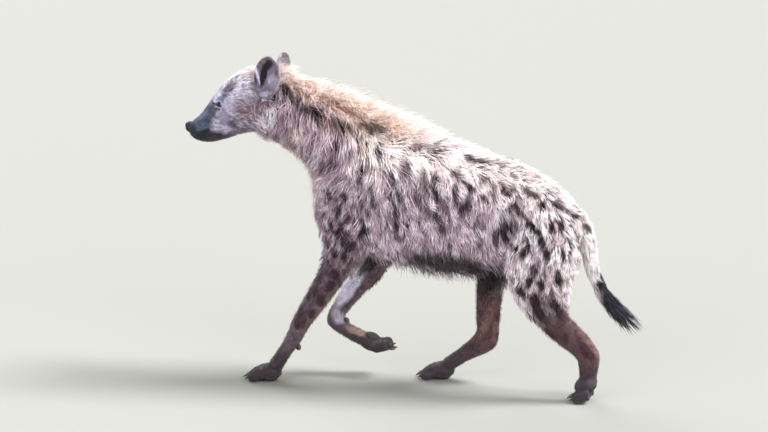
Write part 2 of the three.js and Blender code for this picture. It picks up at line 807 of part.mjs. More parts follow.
// A foot's place: its frame turned to face -X and pitched about the side to side axis.
function footPlace({ side, foot, shape }) {
  const pitch = THREE.MathUtils.degToRad(foot.pitch);
  const forwards = new THREE.Vector3(-Math.cos(pitch), 0, Math.sin(pitch));
  const upwards = new THREE.Vector3(Math.sin(pitch), 0, Math.cos(pitch));
  const across = upwards.clone().cross(forwards);
  const y = side * shape.sideways[shape.sideways.length - 1];
  return new THREE.Matrix4()
    .makeBasis(forwards, across, upwards)
    .setPosition(foot.at[0], y, foot.at[1]);
}

// A toe or claw, in the foot's frame, for the toe at a sideways offset.
function digitForm(levels, domes, offset) {
  const shorter = (Math.abs(offset) > TOE_SPACING ? 1 : 0) * OUTER_TOE_SHORTER;
  return chainForm(
    levels.map(({ at, deep, half }) => ({
      at: [at[0] - (shorter * at[0]) / TOE_LEVELS[TOE_LEVELS.length - 1].at[0], at[1]],
      y: offset * (1 + (TOE_FAN * at[0]) / PALM_RADII[0]),
      deep,
      half,
    })),
    domes,
  );
}

function toeOffsets() {
  return Array.from({ length: TOE_COUNT }, (_, toe) => (toe - (TOE_COUNT - 1) / 2) * TOE_SPACING);
}

// A raised heel turns the palm about the balls of the toes.
function heelTurn(heelLift) {
  const ball = TOE_LEVELS[2].at[0];
  return new THREE.Matrix4()
    .makeTranslation(ball, 0, 0)
    .multiply(new THREE.Matrix4().makeRotationY(THREE.MathUtils.degToRad(heelLift)))
    .multiply(new THREE.Matrix4().makeTranslation(-ball, 0, 0));
}

function footSolid(limb) {
  const place = footPlace(limb);
  const turned = place.clone().multiply(heelTurn(limb.foot.heelLift));
  const palm = ellipsoid(PALM_CENTRE, PALM_RADII, 8, 5).applyMatrix4(turned);
  const pad = ellipsoid(PAD_CENTRE, PAD_RADII, 6, 4).applyMatrix4(turned);
  const toes = toeOffsets().map((offset) => {
    const toe = loft(digitForm(TOE_LEVELS, TOE_DOMES, offset), {
      sides: TOE_SIDES,
      rows: TOE_ROWS,
      domeSteps: SMALL_DOME_STEPS,
    });
    return solidFrom(toe.applyMatrix4(place));
  });
  const claws = toeOffsets().map((offset) => {
    const claw = loft(digitForm(CLAW_LEVELS, CLAW_DOMES, offset), {
      sides: CLAW_SIDES,
      rows: CLAW_ROWS,
      domeSteps: 1,
    });
    return solidFrom(claw.applyMatrix4(place));
  });
  const parts = [solidFrom(palm), solidFrom(pad), ...toes, ...claws];
  if (limb.carpalPad) {
    parts.push(carpalPad(limb));
  }
  return joined(parts);
}

// The small pad behind the wrist of a foreleg.
function carpalPad(limb) {
  const along = (LOWER_JOINT + CARPAL_PAD_BELOW_WRIST) / (limb.levels.length - 1);
  const behind = limbForm(limb).base.getPoint(along);
  return solidFrom(ellipsoid(behind.toArray(), CARPAL_PAD_RADII, 8, 6));
}

function jointCut({ levels }, joint) {
  const [x, z] = levels[joint].at;
  const before = levels[joint - 1].at;
  const after = levels[joint + 1].at;
  return { at: [x, 0, z], faces: [after[0] - before[0], 0, after[1] - before[1]] };
}

function limbSolid(limb, grow = 0) {
  const shape = { sides: LIMB_SIDES, rows: LIMB_ROWS, grow, inset: CORE_INSET };
  return solidFrom(loft(limbForm(limb), shape));
}

// The three pieces of a limb. `keepClear` is what the locks of its upper part give way to.
function limbMeshes(limb, index, trunkGrown, keepClear) {
  const elbow = jointCut(limb, UPPER_JOINT);
  const wrist = jointCut(limb, LOWER_JOINT);
  const upperAndRest = parted(limbSolid(limb), elbow);
  const lowerAndRest = parted(upperAndRest.after, wrist);
  const belowElbow = limbSolid(limb, SEAM).intersect(halfSpace(elbow.at, elbow.faces, -SEAM));
  const random = randomSource(LOCK_SEED + index);
  const locks = locksSolid(limbForm(limb), patchLocks(LIMB_TOP, limb.side, random));
  const upper = upperAndRest.before.subtract(trunkGrown);
  const coated = upper.add(locks.subtract(keepClear).subtract(belowElbow));
  const footSide = halfSpace(wrist.at, wrist.faces, SEAM / 2);
  let foot = lowerAndRest.after.add(footSolid(limb).intersect(footSide));
  if (limb.foot.stands) {
    foot = foot.intersect(halfSpace([0, 0, 0], [0, 0, 1]));
  }
  return [
    meshFrom(`${limb.name}_upper`, coated, COAT_BUFF),
    meshFrom(`${limb.name}_lower`, lowerAndRest.before.subtract(trunkGrown), LEG_BROWN),
    meshFrom(`${limb.name}_foot`, foot, FOOT_DARK),
  ];
}

// Tail

function tailForm() {
  return chainForm(
    TAIL_LEVELS.map((level, index) => ({ ...level, coat: TAIL_COAT[index] })),
    [10, 14],
  );
}

function tailSolid(grow = 0) {
  const shape = { sides: TAIL_SIDES, rows: TAIL_ROWS, grow, inset: CORE_INSET };
  return solidFrom(loft(tailForm(), shape));
}

function tailMeshes(trunkGrown) {
  const cut = jointCut({ levels: TAIL_LEVELS }, TAIL_BRUSH_LEVEL);
  const { before, after } = parted(tailSolid().subtract(trunkGrown), cut);
  const beforeGrown = tailSolid(SEAM).intersect(halfSpace(cut.at, opposite(cut.faces), -SEAM / 2));
  const locks = locksSolid(tailForm(), patchLocks(BRUSH, 1, randomSource(LOCK_SEED)));
  return [
    meshFrom("tail", before, COAT_BUFF),
    meshFrom("tail_brush", after.add(locks.subtract(beforeGrown)), TAIL_BLACK),
  ];
}

// The whole animal

function hyena() {
  const animal = new THREE.Group();
  const trunk = trunkSolid(0);
  const trunkGrown = trunkSolid(SEAM);
  const earsGrown = joined(EARS.map((ear) => earBlank(ear, SEAM)));
  let body = withMouth(trunkSolid(0, 0).add(headSolid()));
  body = body.subtract(earsGrown).subtract(nosePad(SEAM));
  [-1, 1].forEach((side) => {
    body = withEyeSocket(body, side);
  });
  const head = parted(body, NAPE_CUT).before;
  const neckCore = parted(parted(trunk, NAPE_CUT).after, SHOULDER_CUT).before.subtract(earsGrown);
  const torsoCore = parted(trunk, SHOULDER_CUT).after;

  const headGrown = trunkSolid(SEAM, 0)
    .add(headSolid(LIP_PROUD + SEAM))
    .intersect(halfSpace(NAPE_CUT.at, opposite(NAPE_CUT.faces), -SEAM / 2));
  const beforeShoulder = halfSpace(SHOULDER_CUT.at, opposite(SHOULDER_CUT.faces), -SEAM / 2);
  const behindShoulder = halfSpace(SHOULDER_CUT.at, SHOULDER_CUT.faces, -SEAM / 2);
  const limbsGrown = joined(LIMBS.map((limb) => limbSolid(limb, SEAM)));
  const locks = trunkLocks();
  const neckLocks = locksSolid(trunkForm, locks.neck)
    .subtract(headGrown)
    .subtract(trunkGrown.intersect(behindShoulder))
    .subtract(earsGrown)
    .subtract(limbsGrown);
  const neckLocksZone = locksZone(trunkForm, locks.neck);
  const torsoLocks = locksSolid(trunkForm, locks.torso)
    .subtract(trunkGrown.intersect(beforeShoulder))
    .subtract(neckLocksZone)
    .subtract(limbsGrown)
    .subtract(tailSolid(SEAM));
  const keepClear = trunkGrown.add(neckLocksZone).add(locksZone(trunkForm, locks.torso));

  animal.add(meshFrom("head", head, FACE_GREY));
  animal.add(meshFrom("nose", nose(), NOSE_BLACK));
  animal.add(meshFrom("eye_left", eyeBall(-1), EYE_BROWN));
  animal.add(meshFrom("eye_right", eyeBall(1), EYE_BROWN));
  EARS.forEach((ear) => {
    animal.add(meshFrom(`ear_${ear.side}`, earBlank(ear, 0).subtract(earCup(ear)), FACE_GREY));
  });
  animal.add(meshFrom("neck", neckCore.add(neckLocks), NECK_TAN));
  animal.add(meshFrom("torso", torsoCore.add(torsoLocks), COAT_BUFF));
  LIMBS.flatMap((limb, index) => limbMeshes(limb, index, trunkGrown, keepClear)).forEach((mesh) =>
    animal.add(mesh),
  );
  tailMeshes(trunkGrown).forEach((mesh) => animal.add(mesh));
  return animal;
}

// The origin stands on the floor under the middle of the animal's box.
const animal = hyena();
const box = new THREE.Box3().setFromObject(animal);
animal.position.set(-(box.min.x + box.max.x) / 2, -(box.min.y + box.max.y) / 2, -box.min.z);
const model = new THREE.Group();
model.add(animal);

export default model;
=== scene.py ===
import math

import bmesh
import bpy
import numpy as np
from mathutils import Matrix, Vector
from mathutils.bvhtree import BVHTree
from mathutils.kdtree import KDTree


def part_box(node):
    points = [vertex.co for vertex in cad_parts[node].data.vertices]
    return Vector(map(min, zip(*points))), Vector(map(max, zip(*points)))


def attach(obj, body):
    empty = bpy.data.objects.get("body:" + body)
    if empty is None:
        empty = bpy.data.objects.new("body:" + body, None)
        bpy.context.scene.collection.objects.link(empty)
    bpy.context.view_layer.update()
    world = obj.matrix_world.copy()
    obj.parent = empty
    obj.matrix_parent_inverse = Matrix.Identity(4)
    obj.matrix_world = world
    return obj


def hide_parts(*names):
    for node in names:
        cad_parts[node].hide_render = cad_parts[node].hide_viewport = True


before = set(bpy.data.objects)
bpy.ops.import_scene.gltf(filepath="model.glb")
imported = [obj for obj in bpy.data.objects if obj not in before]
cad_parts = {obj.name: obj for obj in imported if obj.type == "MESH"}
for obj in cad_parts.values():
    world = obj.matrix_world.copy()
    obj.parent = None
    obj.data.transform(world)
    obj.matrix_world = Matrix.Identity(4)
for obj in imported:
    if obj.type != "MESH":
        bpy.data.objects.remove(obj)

bl_info = {
    "name": "Spotted Hyena",
    "version": (1, 0, 0),
    "blender": (4, 5, 0),
    "location": "3D View > Sidebar > Hyena",
    "description": "Dresses the solid model of a trotting spotted hyena in skin, fur and markings",
    "category": "Object",
}

# The animal's own numbers are in millimetres, with the nose at -X, the left side at -Y and the
# floor at z = 0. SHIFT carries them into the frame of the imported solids, in metres.
MM = 0.001
SHIFT = np.array(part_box("eye_left")).mean(axis=0) - np.array([-0.592, -0.056, 0.822])

# How the photo sees the animal: from its left, a little from behind and from above. The animal's
# origin is at one of its pixels, and its scale is in pixels for each millimetre.
FRAME_WIDTH, FRAME_HEIGHT = 768, 432
PIXELS_PER_MM = 0.34
CAMERA_TURN, CAMERA_DROP = math.radians(15), math.radians(12)
ORIGIN_COLUMN, ORIGIN_ROW = 416.0, 384.5

# Trunk and neck, level by level from the nape to the tail head, out to the tips of the coat:
# top x, z, base x, z, half width, and how deep the coat is on the top, the side and the base
TRUNK = np.array([
    [-418, 926, -462, 726, 86, 16, 8, 6], [-345, 912, -394, 698, 92, 48, 26, 18],
    [-268, 874, -334, 656, 102, 56, 28, 22], [-190, 840, -292, 586, 116, 54, 28, 24],
    [-115, 808, -278, 470, 130, 48, 26, 20], [-45, 786, -200, 396, 137, 40, 25, 16],
    [40, 759, -92, 382, 139, 30, 25, 18], [125, 732, 30, 362, 137, 26, 25, 22],
    [215, 706, 128, 356, 129, 20, 25, 22], [300, 680, 215, 366, 121, 15, 22, 18],
    [376, 648, 300, 392, 117, 12, 20, 15], [438, 603, 390, 416, 104, 10, 18, 14],
    [486, 552, 458, 432, 76, 8, 14, 12]], float)
HEAD = np.array([
    [-430, 908, -468, 742, 70, 20, 12, 10], [-474, 928, -505, 735, 80, 24, 12, 10],
    [-520, 925, -545, 721, 87, 20, 10, 8], [-564, 897, -578, 708, 84, 12, 8, 7],
    [-603, 858, -606, 698, 69, 7, 6, 6], [-632, 816, -632, 694, 51, 5, 4, 5],
    [-658, 783, -655, 696, 43, 4, 4, 4], [-681, 764, -675, 704, 36, 3, 3, 3],
    [-694, 754, -689, 719, 26, 2, 2, 2]], float)
# Swellings and hollows of the head: place, reach and height
HEAD_LUMPS = [
    ((-548, 84, 790), (42, 40, 26), 7), ((-600, 58, 846), (20, 26, 13), 7),
    ((-594, 66, 822), (20, 26, 15), -6), ((-520, 82, 752), (34, 40, 30), 5),
    ((-662, 40, 738), (22, 26, 15), 4), ((-628, 54, 776), (20, 30, 18), -4)]

# Limbs, from the root to the foot: half width, place to the side and coat depth, then the centre
# x, z and the depth from front to rear of each limb
FORE_HALF = [30, 48, 57, 47, 39, 34, 29, 27, 27, 31]
FORE_SIDE = [70, 82, 86, 86, 84, 83, 81, 80, 78, 76]
FORE_COAT = [20, 20, 18, 12, 8, 6, 5, 4, 4, 3]
HIND_HALF = [30, 52, 63, 53, 40, 32, 26, 25, 23, 28]
HIND_SIDE = [56, 66, 74, 82, 83, 82, 81, 80, 79, 78]
HIND_COAT = [18, 18, 16, 12, 8, 6, 5, 4, 4, 3]
LIMBS = {
    "fore_left": (-1, FORE_HALF, FORE_SIDE, FORE_COAT, [
        (-122, 706, 110), (-158, 640, 166), (-192, 545, 190), (-192, 425, 142), (-228, 344, 100),
        (-281, 257, 80), (-325, 190, 66), (-352, 136, 55), (-381, 90, 48), (-409, 48, 50)]),
    "fore_right": (1, FORE_HALF, FORE_SIDE, FORE_COAT, [
        (-122, 706, 110), (-150, 640, 166), (-168, 545, 186), (-136, 420, 134), (-156, 324, 94),
        (-205, 262, 72), (-243, 212, 62), (-268, 158, 62), (-224, 126, 50), (-170, 103, 48)]),
    "hind_left": (-1, HIND_HALF, HIND_SIDE, HIND_COAT, [
        (372, 600, 120), (392, 525, 190), (398, 425, 230), (398, 320, 180), (437, 236, 106),
        (478, 197, 92), (516, 165, 82), (538, 132, 76), (538, 88, 62), (536, 46, 54)]),
    "hind_right": (1, HIND_HALF, HIND_SIDE, HIND_COAT, [
        (372, 600, 120), (366, 530, 180), (302, 440, 186), (226, 362, 136), (206, 292, 97),
        (201, 236, 86), (199, 186, 82), (192, 126, 80), (126, 78, 54), (78, 44, 48)]),
}
# Where each foot stands or hangs: x, z, the pitch of its toes and the lift of its heel, in degrees
FEET = {"fore_left": (-428, 0, 0, 0), "fore_right": (-148, 124, 203, 0),
        "hind_left": (556, 0, 0, 35), "hind_right": (62, 0, 0, 0)}
# Tail: centre x, y, z, depth, half width and coat depth
TAIL = np.array([
    [484, 0, 532, 62, 31, 12], [508, 0, 478, 56, 28, 10], [520, 2, 425, 48, 25, 9],
    [532, 4, 368, 46, 24, 10], [556, 8, 316, 54, 28, 20], [590, 12, 272, 56, 29, 24],
    [627, 15, 234, 44, 23, 20], [662, 17, 205, 27, 14, 12], [690, 18, 188, 10, 6, 4]], float)

# A foot in its own frame: toes along +X, the sole at z = 0. The levels of a toe and of a claw, from
# root to tip: x, z, depth and half width. The outer toes are shorter, and all spread forwards.
TOES = [(14, 27, 34, 11.5), (34, 25, 34, 12), (52, 12.5, 31, 11.5), (62, 9.5, 20, 9)]
CLAWS = [(56, 15, 10, 3.8), (64, 15.2, 9.4, 3.6), (71, 13.6, 7.4, 3.0), (78, 9.5, 3.4, 1.6)]
TOE_OFFSETS = (-28.5, -9.5, 9.5, 28.5)
OUTER_TOE, OUTER_SHORTER, TOE_REACH = 19, 10, 62
SPREAD, SPREAD_AT = 0.12, 37
# How much slimmer the skin of a toe is than the solid's, for its hair
TOE_COAT = 0.8
# The palm's egg, as its middle and half sizes, and how far in front of it the heel's lift turns
PALM, BALL = ((0, 0, 27), (36, 35, 26)), 52
# Share of the way down a foreleg to the pad behind its wrist
WRIST_PAD = 7.3 / 9

# Each ear: its middle, the way that it faces and the way that its tip leans
EARS = {"left": ((-430, -78, 911), (-0.2, -0.98, 0.04), (0.05, -0.12, 1)),
        "right": ((-434, 82, 897), (-0.985, 0.17, 0.04), (0.05, 0.3, 1))}
EAR_HALF = np.array([44.0, 20.0, 65.0])
# An ear is a thin egg, narrower at its base, with a cup cut out of it: middles and half sizes
EAR_EGGS = (((0, 0, 0), EAR_HALF - 0.6), ((0, 8, 1), EAR_HALF - (4.6, 0.2, 4.6)))
EAR_TAPER = 0.16
EYE = np.array([-592.0, 56.0, 822.0])
EYE_LOOKS = np.array([-0.42, 0.9, 0.06])
EYE_RADIUS = 11.5
# The opening of the lids: half its width and height, how high the lower lid's arch is against the
# upper one's, and how thick the lids lie over the eyeball
LID_WIDE, LID_TALL, LID_LOWER, LID_THICKNESS = 12.0, 4.8, 0.72, 2.0
MOUTH = np.array([(-712, 724), (-676, 725), (-632, 738), (-590, 741), (-548, 756)], float)
NOSE = np.array([-695.0, 0.0, 745.0])
# The middle of the nose pad and its half sizes, and the three eggs that cut a nostril into it
NOSE_PAD, PAD_HALF = NOSE + (3.0, 0, -5), np.array([14.0, 18.5, 15.5])
NOSTRIL = [((-704, 9, 742), (7, 4.4, 4.8)), ((-696, 16, 741), (8, 6, 2.4)),
           ((-688, 18.5, 743), (4.5, 5, 3.8))]
# Sizes of the faces of the ears, feet and nose, in metres
EAR_CELL, FOOT_CELL, NOSE_CELL = 0.0019, 0.0024, 0.0008
# How far over the floor the skin and the tufts stay
SKIN_CLEAR, TUFT_CLEAR = 0.2, 0.4

# The dark cores of the left side's spots as the photo shows them: both ends in its
# pixels, and the width. The right side's are drawn by a seed.
SPOTS = {
    "faint": [
        (325, 160, 322, 175, 4), (345, 147, 349, 145, 4), (350, 156, 362, 152, 8), (388, 143, 394, 141, 4),
        (397, 146, 398, 144, 3), (391, 156, 391, 160, 3), (336, 199, 336, 201, 3), (364, 200, 362, 210, 4),
        (354, 205, 352, 211, 3), (379, 212, 380, 222, 3), (328, 230, 328, 234, 3), (386, 193, 394, 204, 3),
        (422, 175, 426, 192, 6), (414, 195, 420, 208, 4), (440, 200, 446, 212, 5), (448, 199, 448, 202, 4),
        (510, 176, 514, 178, 4), (534, 176, 539, 179, 3), (479, 180, 481, 185, 4), (489, 181, 492, 188, 4),
        (493, 193, 492, 198, 4), (509, 190, 514, 194, 5), (516, 200, 519, 207, 5), (553, 190, 557, 192, 2.4),
        (568, 203, 578, 211, 2.6), (512, 220, 514, 230, 5), (478, 222, 481, 228, 5), (480, 240, 478, 247, 4),
        (535, 262, 536, 268, 3), (541, 270, 542, 278, 3), (509, 275, 512, 283, 4), (536, 289, 537, 292, 3),
        (548, 290, 550, 297, 4), (541, 318, 545, 324, 5), (573, 332, 577, 342, 4), (350, 262, 348, 268, 4),
        (345, 269, 343, 274, 4), (327, 273, 330, 278, 5), (320, 275, 318, 280, 5), (326, 285, 326, 288, 4),
        (313, 298, 313, 301, 3),
    ],
    "plain": [
        (331, 166, 337, 166, 5), (379, 153, 380, 163, 5), (361, 178, 362, 187, 4), (375, 196, 373, 207, 4),
        (368, 212, 368, 219, 4), (361, 221, 364, 224, 6), (331, 222, 333, 229, 4), (346, 232, 347, 237, 5),
        (329, 241, 329, 246, 4), (398, 192, 402, 203, 5), (399, 235, 397, 240, 3), (426, 205, 429, 215, 5),
        (441, 222, 442, 231, 5), (413, 151, 425, 148, 4), (453, 175, 459, 178, 7), (454, 190, 455, 205, 5),
        (466, 196, 468, 214, 3), (499, 167, 507, 164.5, 3), (514, 168.5, 523, 168.5, 3),
        (521, 191, 533, 197, 6),
        (508, 207, 509, 214, 3), (515, 211, 520, 217, 5), (583, 227, 587, 231, 6), (551, 221, 556, 222, 3),
        (493, 235, 495, 245, 5), (530, 266, 531, 275, 5), (556, 310, 561, 318, 6), (545, 330, 549, 337, 6),
        (562, 335, 563, 340, 5), (308, 294, 307, 298, 4), (300, 310, 298, 318, 6), (304, 320, 301, 327, 5),
    ],
    "strong": [
        (340, 144, 337, 152, 4), (363, 166, 363, 176, 4), (330, 192, 330, 200, 4), (344, 196, 344, 200, 6),
        (371, 190, 372, 194, 4), (340, 208, 338, 218, 5), (348, 215, 347, 222, 5), (365, 228, 361, 236, 6),
        (342, 225, 341, 233, 5), (337, 233, 338, 238, 5), (344, 240, 344, 247, 5), (334, 250, 336, 257, 5),
        (345, 252, 344, 260, 5), (353, 243, 350, 250, 7), (392, 176, 395, 188, 4), (396, 207, 396, 218, 4),
        (397, 222, 396, 232, 4.5), (407, 166, 406, 174, 6), (434, 177, 434, 183, 6), (434, 190, 436, 200, 5),
        (409, 222, 408, 230, 3), (434, 213, 437, 220, 5), (431, 153, 446, 152.5, 5), (460, 212, 465, 203, 7),
        (466, 156, 469, 162, 6.5), (472, 161.5, 486, 163.5, 5.5), (467, 185, 471, 192, 4),
        (481, 198, 486, 203, 4),
        (501, 190, 505, 195, 6), (511, 205, 513, 208, 5), (537, 205, 541, 207, 6), (552, 204, 562, 210, 5),
        (562, 211, 576, 219, 5), (526, 223, 530, 229, 6), (530, 230, 536, 233, 6), (547, 224, 550, 232, 5),
        (558, 222, 558, 232, 5), (503, 226, 509, 231, 6), (501, 232, 504, 240, 6), (538, 240, 539, 246, 6),
        (566, 240, 568, 250, 3), (510, 245, 513, 250, 5), (524, 240, 526, 248, 4), (522, 250, 520, 256, 6),
        (543, 250, 544, 258, 6), (559, 250, 561, 260, 3.6), (526, 279, 526, 286, 5), (537, 281, 539, 287, 6),
        (555, 273, 556, 284, 6), (517, 289, 521, 296, 7), (531, 296, 533, 304, 8), (550, 301, 554, 308, 7),
        (534, 309, 538, 316, 8), (528, 316, 532, 322, 6), (579, 344, 588, 356, 7), (334, 273, 336, 279, 7),
        (333, 284, 329, 290, 7), (315, 288, 314, 294, 5), (321, 298, 320, 304, 7), (313, 312, 310, 317, 5),
        (297, 322, 296, 328, 5),
    ],
}


# Small sums

def linear(hex_colour):
    """sRGB hex to the linear colour that shaders work in."""
    channels = [int(hex_colour[i:i + 2], 16) / 255 for i in (1, 3, 5)]
    return np.array([c / 12.92 if c <= 0.04045 else ((c + 0.055) / 1.055) ** 2.4 for c in channels])


def unit(vectors):
    vectors = np.asarray(vectors, float)
    return vectors / np.maximum(np.linalg.norm(vectors, axis=-1, keepdims=True), 1e-9)


def ramp(value, start, end):
    """0 before start, 1 after end, smooth between."""
    share = np.clip((value - start) / (end - start), 0, 1)
    return share * share * (3 - 2 * share)


def placed(points):
    """The animal's millimetres to the frame's metres."""
    return np.asarray(points, float) * MM + SHIFT


def unplaced(points):
    return (np.asarray(points, float) - SHIFT) / MM


def noise(points, size, seed=0):
    """Smooth value noise from -1 to 1, with lumps of that size in millimetres."""
    p = points / size + 40 + seed * 7.3
    cell = np.floor(p)
    f = p - cell
    f = f * f * (3 - 2 * f)
    total = 0
    for corner in range(8):
        step = np.array([corner & 1, corner >> 1 & 1, corner >> 2 & 1])
        lattice = cell + step
        draw = np.sin(lattice @ np.array([127.1, 311.7, 74.7]) + seed) * 43758.5453
        weight = np.prod(np.where(step, f, 1 - f), axis=-1)
        total = total + weight * (2 * (draw - np.floor(draw)) - 1)
    return total


def in_photo(points):
    """The photo's column and row of points in the animal's millimetres."""
    x, y, z = np.asarray(points, float).T
    right = x * math.cos(CAMERA_TURN) + y * math.sin(CAMERA_TURN)
    away = -x * math.sin(CAMERA_TURN) + y * math.cos(CAMERA_TURN)
    up = z * math.cos(CAMERA_DROP) + away * math.sin(CAMERA_DROP)
    return np.stack([ORIGIN_COLUMN + right * PIXELS_PER_MM, ORIGIN_ROW - up * PIXELS_PER_MM], axis=-1)


def from_photo(column, row, y=0.0):
    """The point at that y, in the animal's millimetres, that a pixel of the photo shows."""
    x = ((column - ORIGIN_COLUMN) / PIXELS_PER_MM - y * math.sin(CAMERA_TURN)) / math.cos(CAMERA_TURN)
    away = -x * math.sin(CAMERA_TURN) + y * math.cos(CAMERA_TURN)
    z = ((ORIGIN_ROW - row) / PIXELS_PER_MM - away * math.sin(CAMERA_DROP)) / math.cos(CAMERA_DROP)
    return np.array([x, y, z])


def to_camera():
    """The direction from the animal to the camera."""
    return np.array([math.sin(CAMERA_TURN) * math.cos(CAMERA_DROP),
                     -math.cos(CAMERA_TURN) * math.cos(CAMERA_DROP), math.sin(CAMERA_DROP)])


# Body forms

class Form:
    """A length of body between two ends, from curves of its top, base, half width and coat."""

    def __init__(self, top, base, half, coat, domes, square=2.0, lumps=()):
        self.levels = [np.asarray(part, float) for part in (top, base, half, coat)]
        self.domes, self.square, self.lumps = domes, square, lumps

    def ring(self, along):
        """Top, base, half width and coat depths at shares of the length."""
        along = np.asarray(along, float) * (len(self.levels[0]) - 1)
        index = np.clip(along.astype(int), 0, len(self.levels[0]) - 2)
        u = (along - index)[:, None]
        parts = []
        for points in self.levels:
            run = np.vstack([2 * points[:1] - points[1:2], points, 2 * points[-1:] - points[-2:-1]])
            a, b, c, d = run[index], run[index + 1], run[index + 2], run[index + 3]
            parts.append(0.5 * (2 * b + (c - a) * u + (2 * a - 5 * b + 4 * c - d) * u ** 2
                                + (3 * b - a - 3 * c + d) * u ** 3))
        return parts

    def surface(self, along, angle, inset=1.0):
        """Points at shares of the length and angles round it: 0 is the right side, 90 the top."""
        top, base, half, coat = self.ring(along)
        up, side = np.sin(angle)[:, None], np.cos(angle)[:, None]
        middle = (top + base) / 2
        arm = np.where(up >= 0, top, base) - middle
        depth = np.where(up >= 0, coat[:, :1], coat[:, 2:3])
        reach = np.maximum(np.linalg.norm(arm, axis=1, keepdims=True) - inset * depth, 2)
        offset = unit(arm) * reach * np.abs(up) ** (2 / self.square)
        offset[:, 1:2] += (np.maximum(half - inset * coat[:, 1:2], 2) * np.sign(side)
                           * np.abs(side) ** (2 / self.square))
        points = middle + offset
        out = unit(offset)
        for at, reach, push in self.lumps:
            far = (((points - np.array(at)) / np.array(reach)) ** 2).sum(axis=1)
            points = points + out * (push * np.exp(-far))[:, None]
        return points

    def loft(self, rows, sides, inset=1.0, dome_steps=6):
        """A closed skin over the form as (points, faces)."""
        angles = np.arange(sides) * 2 * np.pi / sides
        rings = [self.surface(np.full(sides, row / rows), angles, inset) for row in range(rows + 1)]
        top, base, _, _ = self.ring(np.array([0, 0.02, 0.98, 1.0]))
        middle = (top + base) / 2
        ends = ((middle[0], unit(middle[0] - middle[1]), self.domes[0], rings[0]),
                (middle[3], unit(middle[3] - middle[2]), self.domes[1], rings[-1]))
        caps = []
        for centre, out, dome, ring in ends:
            turns = [step / dome_steps * np.pi / 2 for step in range(1, dome_steps)]
            caps.append([(ring - centre) * math.cos(turn) + centre + out * dome * math.sin(turn)
                         for turn in turns])
        rings = caps[0][::-1] + rings + caps[1]
        poles = [ends[0][0] + ends[0][1] * self.domes[0], ends[1][0] + ends[1][1] * self.domes[1]]
        return closed(rings, poles)


def closed(rings, poles):
    """A closed skin over rings of points and a pole at each end."""
    sides, count = len(rings[0]), len(rings)
    points = np.vstack([poles[0]] + list(rings) + [poles[1]])
    spot = lambda ring, side: 1 + ring * sides + side % sides
    faces = []
    for side in range(sides):
        faces.append((0, spot(0, side), spot(0, side + 1)))
        faces.append((len(points) - 1, spot(count - 1, side + 1), spot(count - 1, side)))
        faces += [(spot(ring, side), spot(ring + 1, side), spot(ring + 1, side + 1),
                   spot(ring, side + 1)) for ring in range(count - 1)]
    return points, faces


def chain(centres, deep, half, coat, domes):
    """A form along a chain of centres (x, y, z), with a depth in the plane of the chain."""
    centres = np.asarray(centres, float)
    last = len(centres) - 1
    along = np.array([centres[min(i + 1, last)] - centres[max(i - 1, 0)] for i in range(last + 1)])
    front = unit(np.stack([along[:, 2], 0 * along[:, 0], -along[:, 0]], axis=1))
    deep = np.asarray(deep, float)[:, None]
    coat = np.repeat(np.asarray(coat, float)[:, None], 3, axis=1)
    return Form(centres + front * deep / 2, centres - front * deep / 2,
                np.asarray(half, float)[:, None], coat, domes)


def side_profile(levels, domes, square, lumps=()):
    flat = lambda part: np.stack([part[:, 0], 0 * part[:, 0], part[:, 1]], axis=1)
    return Form(flat(levels[:, 0:2]), flat(levels[:, 2:4]), levels[:, 4:5], levels[:, 5:8],
                domes, square, lumps)


def limb_form(name):
    side, half, sideways, coat, levels = LIMBS[name]
    centres = [(x, side * y, z) for (x, z, _), y in zip(levels, sideways)]
    return chain(centres, [deep for _, _, deep in levels], half, coat, (20, 8))


def body_forms():
    both = [(np.array(at) * (1, side, 1), reach, push)
            for at, reach, push in HEAD_LUMPS for side in (1, -1)]
    forms = {"trunk": side_profile(TRUNK, (30, 26), 2.2),
             "head": side_profile(HEAD, (20, 5), 2.3, both)}
    forms.update({name: limb_form(name) for name in LIMBS})
    forms["tail"] = chain(TAIL[:, :3], TAIL[:, 3], TAIL[:, 4], TAIL[:, 5], (10, 14))
    return forms


FORMS = body_forms()


def basis(axes, at=(0, 0, 0)):
    """The matrix to three axes and a place."""
    place = np.eye(4)
    place[:3, :3] = np.stack(axes, axis=1)
    place[:3, 3] = at
    return place


def foot_place(name):
    """The matrix from a foot's frame to the animal's, and the one for its palm, its heel lifted."""
    x, z, pitch, lift = FEET[name]
    side, _, sideways, _, _ = LIMBS[name]
    pitch, lift = math.radians(pitch), math.radians(lift)
    forwards = np.array([-math.cos(pitch), 0, math.sin(pitch)])
    upwards = np.array([math.sin(pitch), 0, math.cos(pitch)])
    place = basis((forwards, np.cross(upwards, forwards), upwards), (x, side * sideways[-1], z))
    turn = basis(((math.cos(lift), 0, -math.sin(lift)), (0, 1, 0), (math.sin(lift), 0, math.cos(lift))))
    ball, back = (basis(np.eye(3), (shift, 0, 0)) for shift in (BALL, -BALL))
    return place, place @ ball @ turn @ back


def moved(points, matrix):
    return points @ matrix[:3, :3].T + matrix[:3, 3]


def moved_back(points, matrix):
    return (points - matrix[:3, 3]) @ matrix[:3, :3]


def carried(skin, matrix):
    """A skin of (points, faces), moved."""
    return moved(skin[0], matrix), skin[1]


def shorter_by(offset):
    """How much shorter the toe at that offset is than the middle ones."""
    return OUTER_SHORTER if abs(offset) > OUTER_TOE else 0


def digit(levels, domes, offset, grow=0.0):
    """A toe or a claw of a foot, in the foot's frame."""
    shorter = shorter_by(offset)
    centres = [(x - shorter * x / TOE_REACH, offset * (1 + SPREAD * x / SPREAD_AT), z)
               for x, z, _, _ in levels]
    return chain(centres, [deep + 2 * grow for _, _, deep, _ in levels],
                 [half + grow for _, _, _, half in levels], [0] * len(levels), domes)


